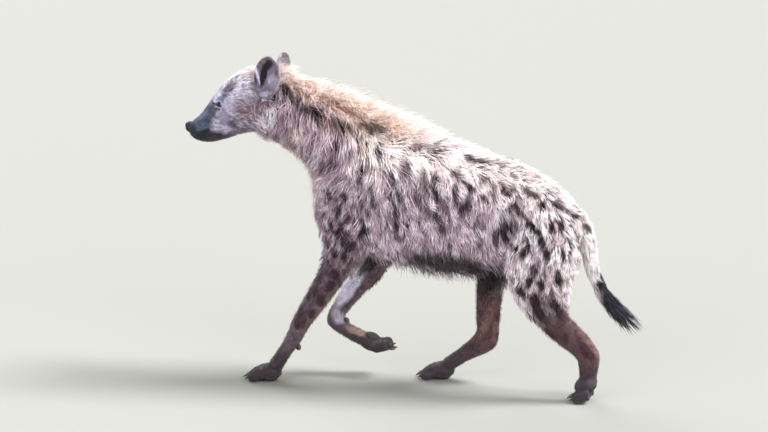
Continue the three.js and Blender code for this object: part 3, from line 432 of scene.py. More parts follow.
def ball_skin(centre, radii, across=40, down=24, shape=None):
    """A closed egg, with its points moved by shape, as (points, faces)."""
    turns = np.pi * np.arange(1, down) / down
    rings = [np.stack([math.sin(turn) * np.cos(np.arange(across) * 2 * np.pi / across),
                       math.sin(turn) * np.sin(np.arange(across) * 2 * np.pi / across),
                       np.full(across, math.cos(turn))], axis=1) for turn in turns]
    points, faces = closed(rings, [np.array([0, 0, 1.0]), np.array([0, 0, -1.0])])
    if shape:
        points = shape(points)
    return points * radii + centre, faces


def narrowed(points, widths):
    """Points with their x drawn in by widths."""
    return points * np.stack([widths, np.ones(len(points)), np.ones(len(points))], axis=1)


def ear_basis(name):
    at, faces, lean = (np.array(part, float) for part in EARS[name])
    facing = unit(faces)
    across = unit(np.cross(facing, lean))
    return basis((across, facing, np.cross(across, facing)), at)


def eye_basis(side):
    facing = unit(EYE_LOOKS * (1, side, 1))
    across = unit(np.cross((0, 0, 1.0), facing))
    return EYE * (1, side, 1), across, np.cross(facing, across), facing


# Mesh work

def linked(name, data):
    """An object of the scene with that data."""
    obj = bpy.data.objects.new(name, data)
    bpy.context.scene.collection.objects.link(obj)
    return obj


def joined(skins):
    """The points and the faces of several skins of (points, faces)."""
    points, faces, start = [], [], 0
    for some, their_faces in skins:
        points.append(some)
        faces += [tuple(start + corner for corner in face) for face in their_faces]
        start += len(some)
    return np.vstack(points), faces


def mesh_object(name, skins):
    """One object from closed skins in the animal's millimetres."""
    points, faces = joined(skins)
    mesh = bpy.data.meshes.new(name)
    mesh.from_pydata(placed(points).tolist(), [], faces)
    mesh.validate()
    bm = bmesh.new()
    bm.from_mesh(mesh)
    bmesh.ops.recalc_face_normals(bm, faces=bm.faces)
    if bm.calc_volume(signed=True) < 0:
        bmesh.ops.reverse_faces(bm, faces=bm.faces)
    bm.to_mesh(mesh)
    bm.free()
    mesh.polygons.foreach_set("use_smooth", [True] * len(mesh.polygons))
    return linked(name, mesh)


def apply_modifiers(obj):
    """The object's own mesh becomes what its modifiers make of it."""
    graph = bpy.context.evaluated_depsgraph_get()
    made = bpy.data.meshes.new_from_object(obj.evaluated_get(graph))
    old = obj.data
    obj.modifiers.clear()
    obj.data = made
    bpy.data.meshes.remove(old)


def fused(obj, voxel):
    remesh = obj.modifiers.new("fused", "REMESH")
    remesh.mode, remesh.voxel_size, remesh.use_smooth_shade = "VOXEL", voxel, True
    apply_modifiers(obj)
    return obj


def merged(obj, other, operation="UNION"):
    """Adds another closed object to this one, or cuts it out, and removes it."""
    cut = obj.modifiers.new("merged", "BOOLEAN")
    cut.operation, cut.solver, cut.object = operation, "MANIFOLD", other
    apply_modifiers(obj)
    bpy.data.objects.remove(other)
    return obj


def read(items, key, width, kind=float):
    """A row of numbers from each vertex, edge or face of a mesh."""
    values = np.empty(len(items) * width, kind)
    items.foreach_get(key, values)
    return values.reshape(-1, width)


def write_points(mesh, points):
    mesh.vertices.foreach_set("co", points.ravel())
    mesh.update()


def nearest_of(places, points):
    """The index of the place that is nearest to each point."""
    tree = KDTree(len(places))
    for index, place in enumerate(places):
        tree.insert(place, index)
    tree.balance()
    return np.array([tree.find(point)[1] for point in points])


def eased(values, ends, weight, rounds, keep=0.0):
    """Values of the vertices averaged with their neighbours, by each vertex's own weight.
    keep is how much of each shrinking step the next one gives back."""
    count = np.maximum(np.bincount(ends.ravel(), minlength=len(values)), 1)[:, None]
    weight = np.broadcast_to(weight, (len(values),))[:, None]
    for _ in range(rounds):
        for step in ((1.0, -keep) if keep else (1.0,)):
            total = np.zeros_like(values)
            for axis in range(values.shape[1]):
                total[:, axis] = (np.bincount(ends[:, 0], values[ends[:, 1], axis], len(values))
                                  + np.bincount(ends[:, 1], values[ends[:, 0], axis], len(values)))
            values = values + (total / count - values) * weight * step * 0.6
    return values


# Skin

def ear_skin(name):
    """One ear as a thin cup with a rolled rim."""
    taper = lambda points: narrowed(points, 1 - EAR_TAPER * np.maximum(0, -points[:, 2]))
    outside, cup = (mesh_object(name, [carried(ball_skin(*egg, 64, 40, taper), ear_basis(name))])
                    for egg in EAR_EGGS)
    return fused(merged(outside, cup, "DIFFERENCE"), EAR_CELL)


def foot_skin(name):
    """Palm, toes and wrist pad of one foot."""
    place, turned = foot_place(name)
    skins = [carried(ball_skin(*PALM), turned)]
    skins += [carried(digit(TOES, (4, 4), offset, -TOE_COAT).loft(14, 24), place) for offset in TOE_OFFSETS]
    if name.startswith("fore"):
        skins.append(ball_skin(FORMS[name].ring(np.array([WRIST_PAD]))[1][0], (9, 8, 11), 20, 12))
    return fused(mesh_object("foot", skins), FOOT_CELL)


def lid_height(u):
    """Height of the upper lid's edge over the eye's middle, at places across it."""
    return LID_TALL * np.clip(1 - np.abs(u / LID_WIDE) ** 1.7, 0, 1)


# In millimetres from the middle of an eye: how far its lids' skin is shaped, from where it starts to
# bulge to where it lies over the eyeball in full, and how deep the opening is cut
LID_AREA, BULGE_FROM, BULGE_FULL, OPENING = 34, 19, 11, 6.5


def shape_lids(points, side):
    """Draws the skin of one side of the face over its eyeball, with the lids' edges and folds."""
    centre, across, upwards, facing = eye_basis(side)
    local = points - centre
    u, v, w = local @ across, local @ upwards, local @ facing
    near = (np.hypot(u, v) < LID_AREA) & (w > -8)
    # the lids lie over the eyeball, pulled to a point at both corners
    upper = lid_height(u)
    lid = np.where(v > 0, upper, LID_LOWER * upper)
    inside = np.where(np.abs(u) < LID_WIDE, lid - np.abs(v), -np.abs(v) - (np.abs(u) - LID_WIDE))
    over = np.sqrt(np.maximum((EYE_RADIUS + LID_THICKNESS) ** 2 - u ** 2 - v ** 2, 0))
    bulge = ramp(-np.hypot(u, v * 1.15), -BULGE_FROM, -BULGE_FULL)
    target = np.where(near, w + (over - w) * bulge, w)
    target = target - ramp(inside, -0.2, 1.4) * OPENING * near
    # folds above the upper lid and below the lower one: height, depth and reach
    for height, deep, reach in ((upper + 5.0, 1.5, 1.7), (-LID_LOWER * upper - 4.6, 1.1, 1.6)):
        fold = np.exp(-((v - height) / reach) ** 2) * ramp(-np.abs(u), -BULGE_FROM, -9)
        target = target - deep * fold * near
    return points + facing * (target - w)[:, None] * near[:, None]


def shape_face(points, normals):
    """Moves the skin of the head into lids, lips, the nose's rim and folds. Millimetres."""
    for side in (1, -1):
        points = shape_lids(points, side)
    # the skin draws in round the nose pad, which stands proud of it
    off = (points - NOSE_PAD) / PAD_HALF
    far = np.linalg.norm(off, axis=1)
    drawn = (ramp(-far, -1.6, -1.2) * ramp(-points[:, 0], 674, 682))[:, None]
    points = points + (NOSE_PAD + off / far[:, None] * 0.9 * PAD_HALF - points) * drawn
    # mouth line: a groove with rounded lips on both sides of it
    off = points[:, 2] - np.interp(points[:, 0], MOUTH[:, 0], MOUTH[:, 1])
    along = ramp(points[:, 0], -536, -560) * ramp(points[:, 0], -716, -700)
    front = (points[:, 0] < -530) & (np.abs(off) < 16)
    groove = -4.2 * np.exp(-(off / 1.7) ** 2) + 1.5 * np.exp(-((off - 4.2) / 3.0) ** 2) \
        + 1.1 * np.exp(-((off + 4.6) / 2.8) ** 2)
    return points + normals * (groove * along * front)[:, None]


def make_hide(sizes):
    """The bare animal in one closed skin, from its forms drawn in by the depth of their coat."""
    body = [form.loft(70, 56) for name, form in FORMS.items() if name != "head"]
    hide = fused(mesh_object("hyena_skin", body), sizes.body_cell)
    head = fused(mesh_object("head", [FORMS["head"].loft(90, 80)]), sizes.face_cell)
    for ear in EARS:
        head = merged(head, ear_skin(ear))
    hide = merged(hide, head)
    for foot in FEET:
        hide = merged(hide, foot_skin(foot))
    finish_hide(hide.data)
    return hide


def finish_hide(mesh):
    """Eases away the seams between the forms and works the face, while toes and face stay crisp."""
    points, ends = unplaced(read(mesh.vertices, "co", 3)), read(mesh.edges, "vertices", 2, int)
    crisp = (points[:, 0] < -470) | (points[:, 2] < 46)
    points = eased(points, ends, np.where(crisp, 0.5, 1.0), 5, 0.9)
    points = eased(points, ends, np.where(crisp, 0.0, 1.0), 4)
    write_points(mesh, placed(points))
    face = (points[:, 0] < -500) & (points[:, 2] > 690)
    points[face] = shape_face(points[face], read(mesh.vertices, "normal", 3)[face])
    points[:, 2] = np.maximum(points[:, 2], SKIN_CLEAR)
    write_points(mesh, placed(points))


# Lie of the hair

# The unwrap of the skin: each length of body has its own rectangle
PATCHES = {"trunk": (0.005, 0.005, 0.6, 0.55), "head": (0.62, 0.005, 0.995, 0.26),
           "left": (0.62, 0.28, 0.8, 0.38), "right": (0.82, 0.28, 0.995, 0.38),
           "tail": (0.62, 0.4, 0.995, 0.5), "fore_left": (0.005, 0.57, 0.24, 0.9),
           "fore_right": (0.255, 0.57, 0.49, 0.9), "hind_left": (0.505, 0.57, 0.74, 0.9),
           "hind_right": (0.755, 0.57, 0.99, 0.9), "feet": (0.005, 0.92, 0.99, 0.99)}
KINDS = {name: code for code, name in enumerate([*FORMS, *EARS, "feet"])}
# Columns of the table of skin samples and of the table of skin vertices
FLOW, DEPTH, U, V, KIND, ALONG, RISE, GRAIN = slice(0, 3), 3, 4, 5, 6, 7, 8, slice(9, 12)
COLUMNS = 12
# How much longer than wide the locks of the short fur's grain are
LOCK_STRETCH = 0.15
# How deep the fur is in an ear, behind it and on a foot
CUP_COAT, EAR_COAT, FOOT_COAT = 5, 3, 2.5
# How far forwards the eggs of an ear are skin, and how far a foot reaches behind its frame, along
# and up
CUP_FRONT, EAR_FRONT = 6, 9
HEEL, FOOT_LONG, FOOT_TALL = 40, 110, 56


def of_kind(table, *names):
    """Which rows of the table belong to those lengths of the body."""
    return np.isin(table[:, KIND], [KINDS[name] for name in names])


def lie_turn(name, along, rise):
    """How far the hair turns from straight along its form towards straight down, in degrees."""
    if name == "trunk":
        turn = np.interp(rise, [-90, -66, -20, 30, 58, 76, 88], [60, 74, 74, 64, 40, 14, 0])
        return turn - 8 * (along < 0.25) + 10 * ramp(along, 0.72, 0.95) * (rise < 60)
    if name == "head":
        return np.interp(rise, [-80, -30, 20, 70], [10, 26, 22, 4])
    return np.zeros_like(rise)


def sample_rows(kind, across, down, columns):
    """Rows of the table of samples: across and down are their shares of the way over their patch."""
    table = np.zeros((len(across), COLUMNS))
    u0, v0, u1, v1 = PATCHES[kind]
    table[:, KIND] = KINDS[kind]
    table[:, U], table[:, V] = u0 + (u1 - u0) * across, v0 + (v1 - v0) * down
    for column, values in columns:
        table[:, column] = values
    return table


def form_samples(name, form, rows, sides):
    share, angle = np.meshgrid(np.linspace(0, 1, rows), np.arange(sides) * 2 * np.pi / sides,
                               indexing="ij")
    t, a = share.ravel(), angle.ravel()
    points = form.surface(t, a)
    step = 1e-3
    back = form.surface(np.minimum(t + step, 1.001), a) - points
    out = unit(np.cross(back, form.surface(t, a + step) - points))
    top, base, _, coat = form.ring(t)
    middle = (top + base) / 2
    out *= np.sign((out * (points - middle)).sum(axis=1, keepdims=True))
    along = unit(back) * (-1 if name == "head" else 1)
    down = np.array([0, 0, -1.0]) - out * -out[:, 2:3]
    down = down - along * (down * along).sum(axis=1, keepdims=True)
    rise = np.degrees(np.arcsin(np.clip(np.sin(a), -1, 1)))
    turn = np.radians(lie_turn(name, t, rise))[:, None]
    up = np.abs(np.sin(a)) ** 2
    depth = np.where(np.sin(a) > 0, coat[:, 0], coat[:, 2]) * up + coat[:, 1] * (1 - up)
    if name == "head":
        # the hair is longer behind the cheeks and between the ears
        depth = depth + 9 * ramp(-t, -0.32, -0.08) * ramp(-rise, -10, 35) \
            + 13 * ramp(-t, -0.4, -0.16) * ramp(rise, 48, 76)
    length = np.linalg.norm(np.diff(middle.reshape(rows, sides, 3)[:, 0], axis=0), axis=1).sum()
    size = np.linalg.norm(points - middle, axis=1).mean()
    round_ = a / (2 * np.pi)
    across, down_patch = (t, round_) if name in ("trunk", "head", "tail") else (round_, t)
    return points, sample_rows(name, across, down_patch, [
        (FLOW, unit(np.cos(turn) * along + np.sin(turn) * down)), (DEPTH, depth), (ALONG, t), (RISE, rise),
        (GRAIN, np.stack([np.cos(a) * size, np.sin(a) * size, t * length * 0.12], axis=1))])


def ear_samples(name):
    place = ear_basis(name)
    gathered = []
    for inner, egg in enumerate(EAR_EGGS):
        points, _ = ball_skin(*egg, 40, 24)
        points = points[points[:, 1] < (CUP_FRONT if inner else EAR_FRONT)]
        out = unit(points / EAR_HALF ** 2)
        flow = unit(np.array([0, 0, 1.0]) - out * out[:, 2:3]
                    + unit(points * (1, 0, 0)) * (0.5 if inner else -0.15))
        height = points[:, 2] / (2 * EAR_HALF[2]) + 0.5
        across = 0.5 * (inner + 0.05 + 0.9 * (points[:, 0] / (2 * EAR_HALF[0]) + 0.5))
        gathered.append((moved(points, place), sample_rows(name, across, np.clip(height, 0, 1), [
            (FLOW, flow @ place[:3, :3].T), (DEPTH, CUP_COAT if inner else EAR_COAT), (ALONG, height),
            (RISE, inner), (GRAIN, points * (1, 1, LOCK_STRETCH))])))
    return gathered


def foot_samples(name, index):
    place, turned = foot_place(name)
    gathered = []
    for toe, offset in enumerate(TOE_OFFSETS + (None,)):
        points = (ball_skin(*PALM, 30, 18) if offset is None
                  else digit(TOES, (4, 4), offset, -TOE_COAT).loft(12, 16))[0]
        x, _, z = points.T
        across = (index * 5 + toe + 0.05 + 0.9 * (x + HEEL) / FOOT_LONG) / 20
        gathered.append((moved(points, turned if offset is None else place), sample_rows(
            "feet", across, np.clip(z / FOOT_TALL, 0, 1), [
                (FLOW, place[:3, 0]), (DEPTH, FOOT_COAT), (ALONG, x), (RISE, z),
                (GRAIN, points * (LOCK_STRETCH, 1, 1))])))
    return gathered


def skin_samples():
    sizes = {"trunk": (130, 80), "head": (80, 60), "tail": (50, 16)}
    gathered = [form_samples(name, form, *sizes.get(name, (80, 36))) for name, form in FORMS.items()]
    for ear in EARS:
        gathered += ear_samples(ear)
    for index, foot in enumerate(FEET):
        gathered += foot_samples(foot, index)
    return np.vstack([g[0] for g in gathered]), np.vstack([g[1] for g in gathered])


class Hide:
    """What the coat needs to know of the finished skin: its points, normals, lie and unwrap."""

    def __init__(self, mesh):
        self.points, self.normals = read(mesh.vertices, "co", 3), read(mesh.vertices, "normal", 3)
        mesh.calc_loop_triangles()
        self.faces = read(mesh.loop_triangles, "vertices", 3, int)
        a, b, c = (self.points[self.faces[:, i]] for i in range(3))
        self.areas = np.linalg.norm(np.cross(b - a, c - a), axis=1) / 2
        self.tree = BVHTree.FromPolygons(self.points.tolist(), self.faces.tolist())
        spots, table = skin_samples()
        self.table = table[nearest_of(placed(spots), self.points)]
        steady = of_kind(self.table, "left", "right", "feet")
        ends = read(mesh.edges, "vertices", 2, int)
        mixed = eased(self.table[:, :4], ends, np.where(steady, 0.2, 1.0), 24)
        flow = mixed[:, :3] - self.normals * (mixed[:, :3] * self.normals).sum(axis=1, keepdims=True)
        self.table[:, FLOW], self.table[:, DEPTH] = unit(flow), mixed[:, 3]

    def nearest(self, points):
        found = [self.tree.find_nearest(point)[:2] for point in points.tolist()]
        return (np.array([spot for spot, _ in found]), np.array([normal for _, normal in found]))

    def roots(self, count, weight, random):
        """Seeded roots on the skin, thick where weight is high, with their row of the table."""
        chance = self.areas * weight[self.faces].mean(axis=1)
        chosen = random.choice(len(chance), count, p=chance / chance.sum())
        a, b = random.random(count), random.random(count)
        over = a + b > 1
        a[over], b[over] = 1 - a[over], 1 - b[over]
        shares = np.stack([1 - a - b, a, b], axis=1)[:, :, None]
        corners = self.faces[chosen]
        table = self.table[corners[:, 0]].copy()
        mean = lambda values: (values[corners] * shares).sum(axis=1)
        table[:, :4] = mean(self.table[:, :4])
        # the unwrap is mixed only inside one patch
        spread = [np.ptp(self.table[corners][:, :, column], axis=1) for column in (KIND, U, V)]
        same = (spread[0] == 0) & (spread[1] < 0.02) & (spread[2] < 0.02)
        table[same, 4:9] = mean(self.table[:, 4:9])[same]
        table[:, KIND] = np.round(table[:, KIND])
        return mean(self.points), unit(mean(self.normals)), table


# Coat colours and markings

# Patches of colour on the head, neck and trunk, alike on both sides, where the photo shows them:
# column, row, half length, half width, lean below level in degrees, colour and strength
PATCHES_OF_COLOUR = [
    (254, 112, 17, 20, 0, "jaw_brown", 0.45), (236, 83, 17, 8, -42, "pale_cheek", 0.85),
    (246, 92, 11, 8, 0, "pale_cheek", 0.5), (228, 90.5, 12.5, 4.2, -54, "forehead", 0.8),
    (242, 110, 9, 11, 10, "jaw_brown", 0.55), (253, 108, 7, 9, 0, "jaw_brown", 0.6),
    (232, 125, 4, 6, -40, "dark_brown", 0.6), (240, 131, 10, 3.6, -8, "dark_brown", 0.6),
    (227, 119, 13, 7.5, 25, "dark_brown", 0.4), (232, 135, 13, 2.6, -12, "jaw_brown", 0.6),
    (196, 116, 18.5, 26, 0, "muzzle", 1.0), (206, 137, 20, 7.6, -4, "lips", 0.97),
    # the bridge patch is a painted highlight along the top of the dark muzzle
    (224, 136, 12, 3, -8, "dark_brown", 0.7), (203, 114, 8, 3, -40, "bridge", 0.55),
    (212.5, 110, 4.0, 7.5, -18, "tear_mark", 0.85), (189, 129, 6, 8, 0, "lips", 0.8),
    (206, 130, 3.4, 1.8, 0, "lips", 0.9), (207.7, 122.3, 1.7, 1.4, 0, "lips", 0.7),
    (219.5, 99.2, 5.6, 3.6, -15, "brow", 0.85), (219, 91.5, 8, 2, -60, "pale_cheek", 0.6),
    (213.4, 102.2, 2.2, 1.9, 0, "lips", 0.85),
    (218.0, 104.4, 4.8, 1.6, 12, "lips", 0.95), (217.2, 108.8, 2.4, 1.7, 0, "lips", 0.8),
    (251, 66, 10, 6, -20, "crest", 0.6), (288, 93, 11, 6, 45, "dark_brown", 0.95),
    (279, 101, 8, 3.5, 25, "dark_brown", 0.8), (315, 116, 16, 7, 38, "dark_brown", 0.92),
    (333, 104, 17, 5, 28, "tan", 0.75), (353, 114, 15, 5, 22, "tan", 0.8),
    (371, 128, 16, 6, 14, "dark_brown", 0.9), (360, 145, 11, 6, 10, "crest", 0.5),
    (304, 96, 14, 4, 35, "tan", 0.6), (330, 126, 14, 5, 35, "tan", 0.5),
    (300, 108, 14, 5, 45, "dark_brown", 0.75), (342, 127, 16, 6, 25, "dark_brown", 0.75),
    (322, 205, 32, 4.5, 83, "back", 0.7), (301, 165, 24, 4, 52, "throat", 0.6),
    (269, 119, 10, 10, 0, "ruff", 0.85), (292, 146, 8, 4, 55, "dark_brown", 0.4),
    (298, 137, 7, 8, 0, "throat", 0.6), (316, 158, 8, 10, 30, "ruff", 0.5),
    # the dark band along the belly line is dark hair with painted shade of the underside
    (446, 263.5, 46, 9.5, 9, "fringe", 0.95), (505, 226, 12, 18, 0, "shade", 0.35)]
# Patches of the legs: the outside of the left ones and the inside of the right ones. The dark fringe patches
# high inside the right legs are painted shade under the belly.
PATCHES_OF_LEGS = {
    "fore_left": [(352, 262, 14, 5, -60, "rear_edge", 0.5), (318, 312, 26, 3.5, -58, "rear_edge", 0.4),
                  (310, 300, 24, 5, -60, "leg_shade", 0.5)],
    "fore_right": [(351, 284, 29, 9, -57, "rf_arm", 0.95), (372, 262, 20, 6, -45, "fringe", 0.85),
                   (338, 318, 9, 6, 60, "rf_arm", 0.5), (362, 335, 18, 4, 20, "sole_tan", 0.5),
                   (375, 335, 8, 5, 30, "sole_tan", 0.6)],
    "hind_left": [(590, 325, 30, 5, 75, "rear_edge", 0.4), (548, 312, 26, 13, 50, "leg_brown", 0.7),
                  (588, 345, 10, 6, 60, "rear_edge", 0.45)],
    "hind_right": [(484, 276, 16, 22, 0, "fringe", 0.95), (488, 318, 22, 5, -70, "rear_edge", 0.6),
                   (499, 330, 6, 12, 0, "rear_edge", 0.5)]}
# Patches inside the ear, as the photo shows the left one. The near-black of the cavity and the dark brown
# under the top of the rim are painted shade.
PATCHES_OF_EAR = [
    (266, 61.5, 10, 5, 0, "ear_back", 0.85), (275, 83, 6, 9, 0, "pale_cheek", 0.25),
    (264, 76.5, 13, 4.0, 104, "ear_cavity_shade", 1.0), (268.5, 66, 6, 4.2, -30, "ear_cavity_shade", 0.9),
    (258.4, 75.5, 10, 1.1, 78, "pale_cheek", 0.7), (256, 80, 8, 1.5, 80, "dark_brown", 0.7),
    (267, 94.5, 8, 2.8, -10, "pale_cheek", 0.3)]


def plain(colour, count):
    return np.repeat(np.asarray(colour)[None], count, axis=0)


def toward(colour, other, share):
    return colour + (other - colour) * np.broadcast_to(share, len(colour))[:, None]


def layered(colour, tone, *layers):
    """Lays colours of the palette over a colour, one after another, each by its share."""
    for name, share in layers:
        colour = toward(colour, tone[name], share)
    return colour


def palette():
    """The colours of the coat's settings, linear, by name."""
    chosen = bpy.context.scene.hyena_colours
    return {name: np.array(getattr(chosen, name)[:3]) for name in chosen.__annotations__}


def patched(colour, places, patches, tone):
    """Lays soft patches of colour at flat places, in the places' own units."""
    for across, down, half_long, half_wide, lean, name, strength in patches:
        lean = math.radians(lean)
        off = places - (across, down)
        far = np.hypot((off @ (math.cos(lean), math.sin(lean))) / half_long,
                       (off @ (-math.sin(lean), math.cos(lean))) / half_wide)
        colour = toward(colour, tone[name], strength * ramp(-far, -1.25, -0.65))
    return colour


def spot_darkness(points, spots):
    """How dark the spots make each point, from 0 to 1."""
    dark = np.zeros(len(points))
    ragged = 0.22 * noise(points, 9, 3) + 0.12 * noise(points, 4, 5)
    for centre, ways, halves, strength in spots:
        offset = points - centre
        near = np.flatnonzero((np.abs(offset) < halves[0] + SPOT_FADE).all(axis=1))
        if len(near):
            far = np.linalg.norm(offset[near] @ ways.T / halves, axis=1) + ragged[near]
            dark[near] = np.maximum(dark[near], strength * ramp(-far, -1.3, -0.75))
    return dark


def laid_spot(centre, long_way, out, length, width, strength):
    """A spot on the coat: its place, its long, wide and outward ways, its half sizes and strength."""
    spread = bpy.context.scene.hyena_sizes.spot_spread
    long_way = unit(long_way - out * (long_way @ out))
    halves = np.array([length / 2 * spread ** 0.5, width / 2 * spread, SPOT_DEPTH])
    return centre, np.stack([long_way, np.cross(out, long_way), out]), halves, strength


def left_spots():
    """The spots of the left side, where the photo shows them, on the outside of the coat."""
    points, faces = joined([form.loft(60, 60, COAT_OUTSIDE) for form in FORMS.values()])
    coat = BVHTree.FromPolygons(points.tolist(), faces)
    spots = []
    for strength, strokes in SPOTS.items():
        for column, row, end_column, end_row, width in strokes:
            hits = []
            for share in (0, 0.5, 1):
                eye = from_photo(column + (end_column - column) * share,
                                 row + (end_row - row) * share, RAY_START_Y) + RAY_BACK * to_camera()
                hits.append(coat.ray_cast(eye, -to_camera())[:2])
            if any(place is None for place, _ in hits):
                continue
            first, middle, last = (np.array(place) for place, _ in hits)
            width, length = width / PIXELS_PER_MM, np.linalg.norm(last - first)
            long_way = last - first if length > 3 else np.array([0, 0, -1.0])
            spots.append(laid_spot(middle, unit(long_way), np.array(hits[1][1]), length + 0.8 * width,
                                   width, SPOT_STRENGTH[strength]))
    return spots


def right_spots(hide):
    """Like spots, drawn by a seed over the side that the photo doesn't show."""
    random = np.random.default_rng(5)
    x, y, _ = unplaced(hide.points).T
    rise, along = hide.table[:, RISE], hide.table[:, ALONG]
    body = of_kind(hide.table, "trunk") & (x > -270) & (rise > -48) & (rise < 74)
    limb = of_kind(hide.table, "fore_right", "hind_right") & (y > 78) & (along < 0.78)
    roots, normals, table = hide.roots(900, ((body | limb) & (y > 0)).astype(float), random)
    kept, spots = [], []
    for root, out, row in zip(unplaced(roots), normals, table):
        gap = SPOT_GAP if row[KIND] == KINDS["trunk"] else LIMB_SPOT_GAP
        if all(np.linalg.norm(root - other) > gap for other in kept):
            kept.append(root)
            lean = random.normal() * 0.2
            long_way = row[FLOW] * math.cos(lean) + np.cross(out, row[FLOW]) * math.sin(lean)
            spots.append(laid_spot(root + out * 10, long_way, out, random.uniform(22, 48),
                                   random.uniform(11, 19), random.choice(list(SPOT_STRENGTH.values()))))
    return spots


def trunk_colours(table, tone, patchy, fine):
    along, rise = table[:, ALONG], table[:, RISE]
    return layered(
        plain(tone["flank"], len(table)), tone,
        # the top and the rump are lightened to the back's colour: painted highlight of the light from above
        ("back", ramp(rise + 8 * patchy + 16 * ramp(along, 0.6, 0.9), 20, 56)),
        ("neck", ramp(-along, -0.36, -0.24) * (0.85 + 0.15 * fine)),
        ("crest", ramp(-along, -0.55, -0.38) * ramp(rise + 8 * fine, 52, 70)),
        ("tail_root", ramp(along + 0.03 * patchy, 0.8, 0.94) * 0.85),
        # the underside darkens into the belly fringe: dark hair, with painted shade
        ("fringe", ramp(-rise + 10 * patchy, 56, 74) * ramp(along, 0.3, 0.42) * 0.95),
        ("throat", ramp(-rise + 14 * patchy, 40, 66) * ramp(-along, -0.42, -0.3) * 0.8))


def head_colours(points, table, tone, fine):
    along, rise = table[:, ALONG], table[:, RISE]
    dark_hair = ramp(noise(points * (0.5, 1, 1), 7, 27), 0.1, 0.6)
    return layered(
        plain(tone["cheek"], len(table)), tone, ("neck", ramp(-along, -0.14, -0.02) * 0.6),
        ("crest", ramp(rise + 8 * fine, 42, 62) * ramp(-along, -0.42, -0.24) * 0.8),
        ("forehead", dark_hair * ramp(-rise, -30, 0) * 0.55))


def limb_colours(name, points, table, tone, patchy, fine):
    """From the shoulder or haunch down to the dark foot, tan along the rear edge."""
    fore = name.startswith("fore")
    upper, lower, turn_at, shade_at = (
        ("shoulder", "fore_leg", (2.3, 4.2), (-3.6, -2.6)) if fore
        else ("haunch", "hind_leg", (2.8, 4.5), (-5.0, -3.8)))
    level = table[:, ALONG] * 9
    rear = np.clip(0.5 - table[:, RISE] / 120, 0, 1)
    inner = points[:, 1] * LIMBS[name][0] < 70
    lower = layered(plain(tone[lower], len(table)), tone, ("rear_edge", ramp(rear, 0.7, 0.98) * 0.25))
    mottled = ramp(noise(points, 20, 31), 0.1, 0.55) * ramp(level, 3.0, 4.6)
    pale = 0 if fore else ramp(rear, 0.68, 0.95) * ramp(-level, -3.6, -2.2) * 0.85
    whole = layered(
        toward(plain(tone[upper], len(table)), lower, ramp(level + 0.5 * patchy, *turn_at)), tone,
        ("foot", mottled * 0.6), ("tail_root", pale), ("foot", ramp(level + 0.4 * fine, 6.6, 8.7) * 0.9),
        # the inside of each upper leg is darkened by painted shade under the belly
        ("fringe", inner * ramp(-level, *shade_at) * 0.8))
    pixels = in_photo(points) + 1.4 * np.stack([patchy, fine], axis=1)
    shown = patched(whole, pixels, PATCHES_OF_LEGS[name], tone)
    return toward(whole, shown, ramp(-points[:, 1], -86, -70))


def ear_colours(name, points, table, tone, fine):
    """Brown outside and patched inside, the same on both ears."""
    local = moved_back(points, ear_basis(name)) * (1 if name == "left" else -1, 1, 1)
    back = layered(plain(tone["ear_back"], len(points)), tone,
                   ("dark_brown", ramp(local[:, 2], 8, 56) * 0.6))
    pixels = in_photo(moved(local, ear_basis("left"))) \
        + 1.3 * np.stack([fine, noise(points, 9, 23)], axis=1)
    wall = patched(plain(tone["ear_wall"], len(points)), pixels, PATCHES_OF_EAR, tone)
    rim = np.hypot(local[:, 0] / EAR_HALF[0], local[:, 2] / EAR_HALF[2])
    round_ = np.arctan2(local[:, 2], local[:, 0])
    streaks = noise(np.stack([np.cos(round_) * 40, np.sin(round_) * 40, rim * 8], axis=1), 4, 29)
    inside = table[:, RISE] > 0.5
    whole = toward(back, wall * (1 + 0.5 * streaks[:, None]), inside)
    # the pale band round the edge is a painted rim light
    edge = rim + 0.03 * fine - 0.06 * ~inside
    return layered(whole, tone, ("pale_cheek", ramp(edge, 0.9, 0.98) * 0.8))


def coat_colours(points, table, spots):
    """The colour of hide and hair at points in the animal's millimetres, with its markings."""
    tone, count = palette(), len(points)
    patchy, fine = noise(points, 60, 11), noise(points, 16, 12)
    mirrored = in_photo(points * (1, 0, 1) - np.abs(points) * (0, 1, 0))
    ragged = np.where(of_kind(table, "trunk"), 3.4, 2.0)[:, None]
    mirrored = mirrored + ragged * np.stack([noise(points, 14, 21), noise(points, 14, 22)], axis=1)
    down = np.interp(-points[:, 2], -TAIL[:, 2], np.linspace(0, 1, len(TAIL)))
    brush = ramp(down + 0.05 * fine - 0.13 * np.sin(np.radians(table[:, RISE])), 0.42, 0.54)
    looks = {
        "trunk": patched(trunk_colours(table, tone, patchy, fine), mirrored, PATCHES_OF_COLOUR, tone),
        "head": patched(head_colours(points, table, tone, fine), mirrored, PATCHES_OF_COLOUR, tone),
        "tail": layered(plain(tone["tail_root"], count), tone, ("brush", brush)),
        "feet": layered(plain(tone["foot"], count), tone, ("fore_leg", ramp(fine, 0.2, 1) * 0.4))}
    looks.update({name: limb_colours(name, points, table, tone, patchy, fine) for name in LIMBS})
    looks.update({name: ear_colours(name, points, table, tone, fine) for name in EARS})
    colour = np.zeros((count, 3))
    for name, colours in looks.items():
        here = of_kind(table, name)
        colour[here] = colours[here]
    return np.clip(layered(colour, tone, ("spot", spot_darkness(points, spots))), 0.002, 1)


# Tufts

# Along a tuft of 2, 3 or 4 stations: each one's share of the length, of the rise and of the width
STATIONS = {2: ((0.0, 0.5), (0.0, 0.62), (0.75, 0.95)),
            3: ((0.0, 0.4, 0.75), (0.0, 0.55, 0.88), (0.7, 1.0, 0.75)),
            4: ((0.0, 0.28, 0.55, 0.8), (0.0, 0.42, 0.74, 0.94), (0.65, 1.0, 0.95, 0.6))}
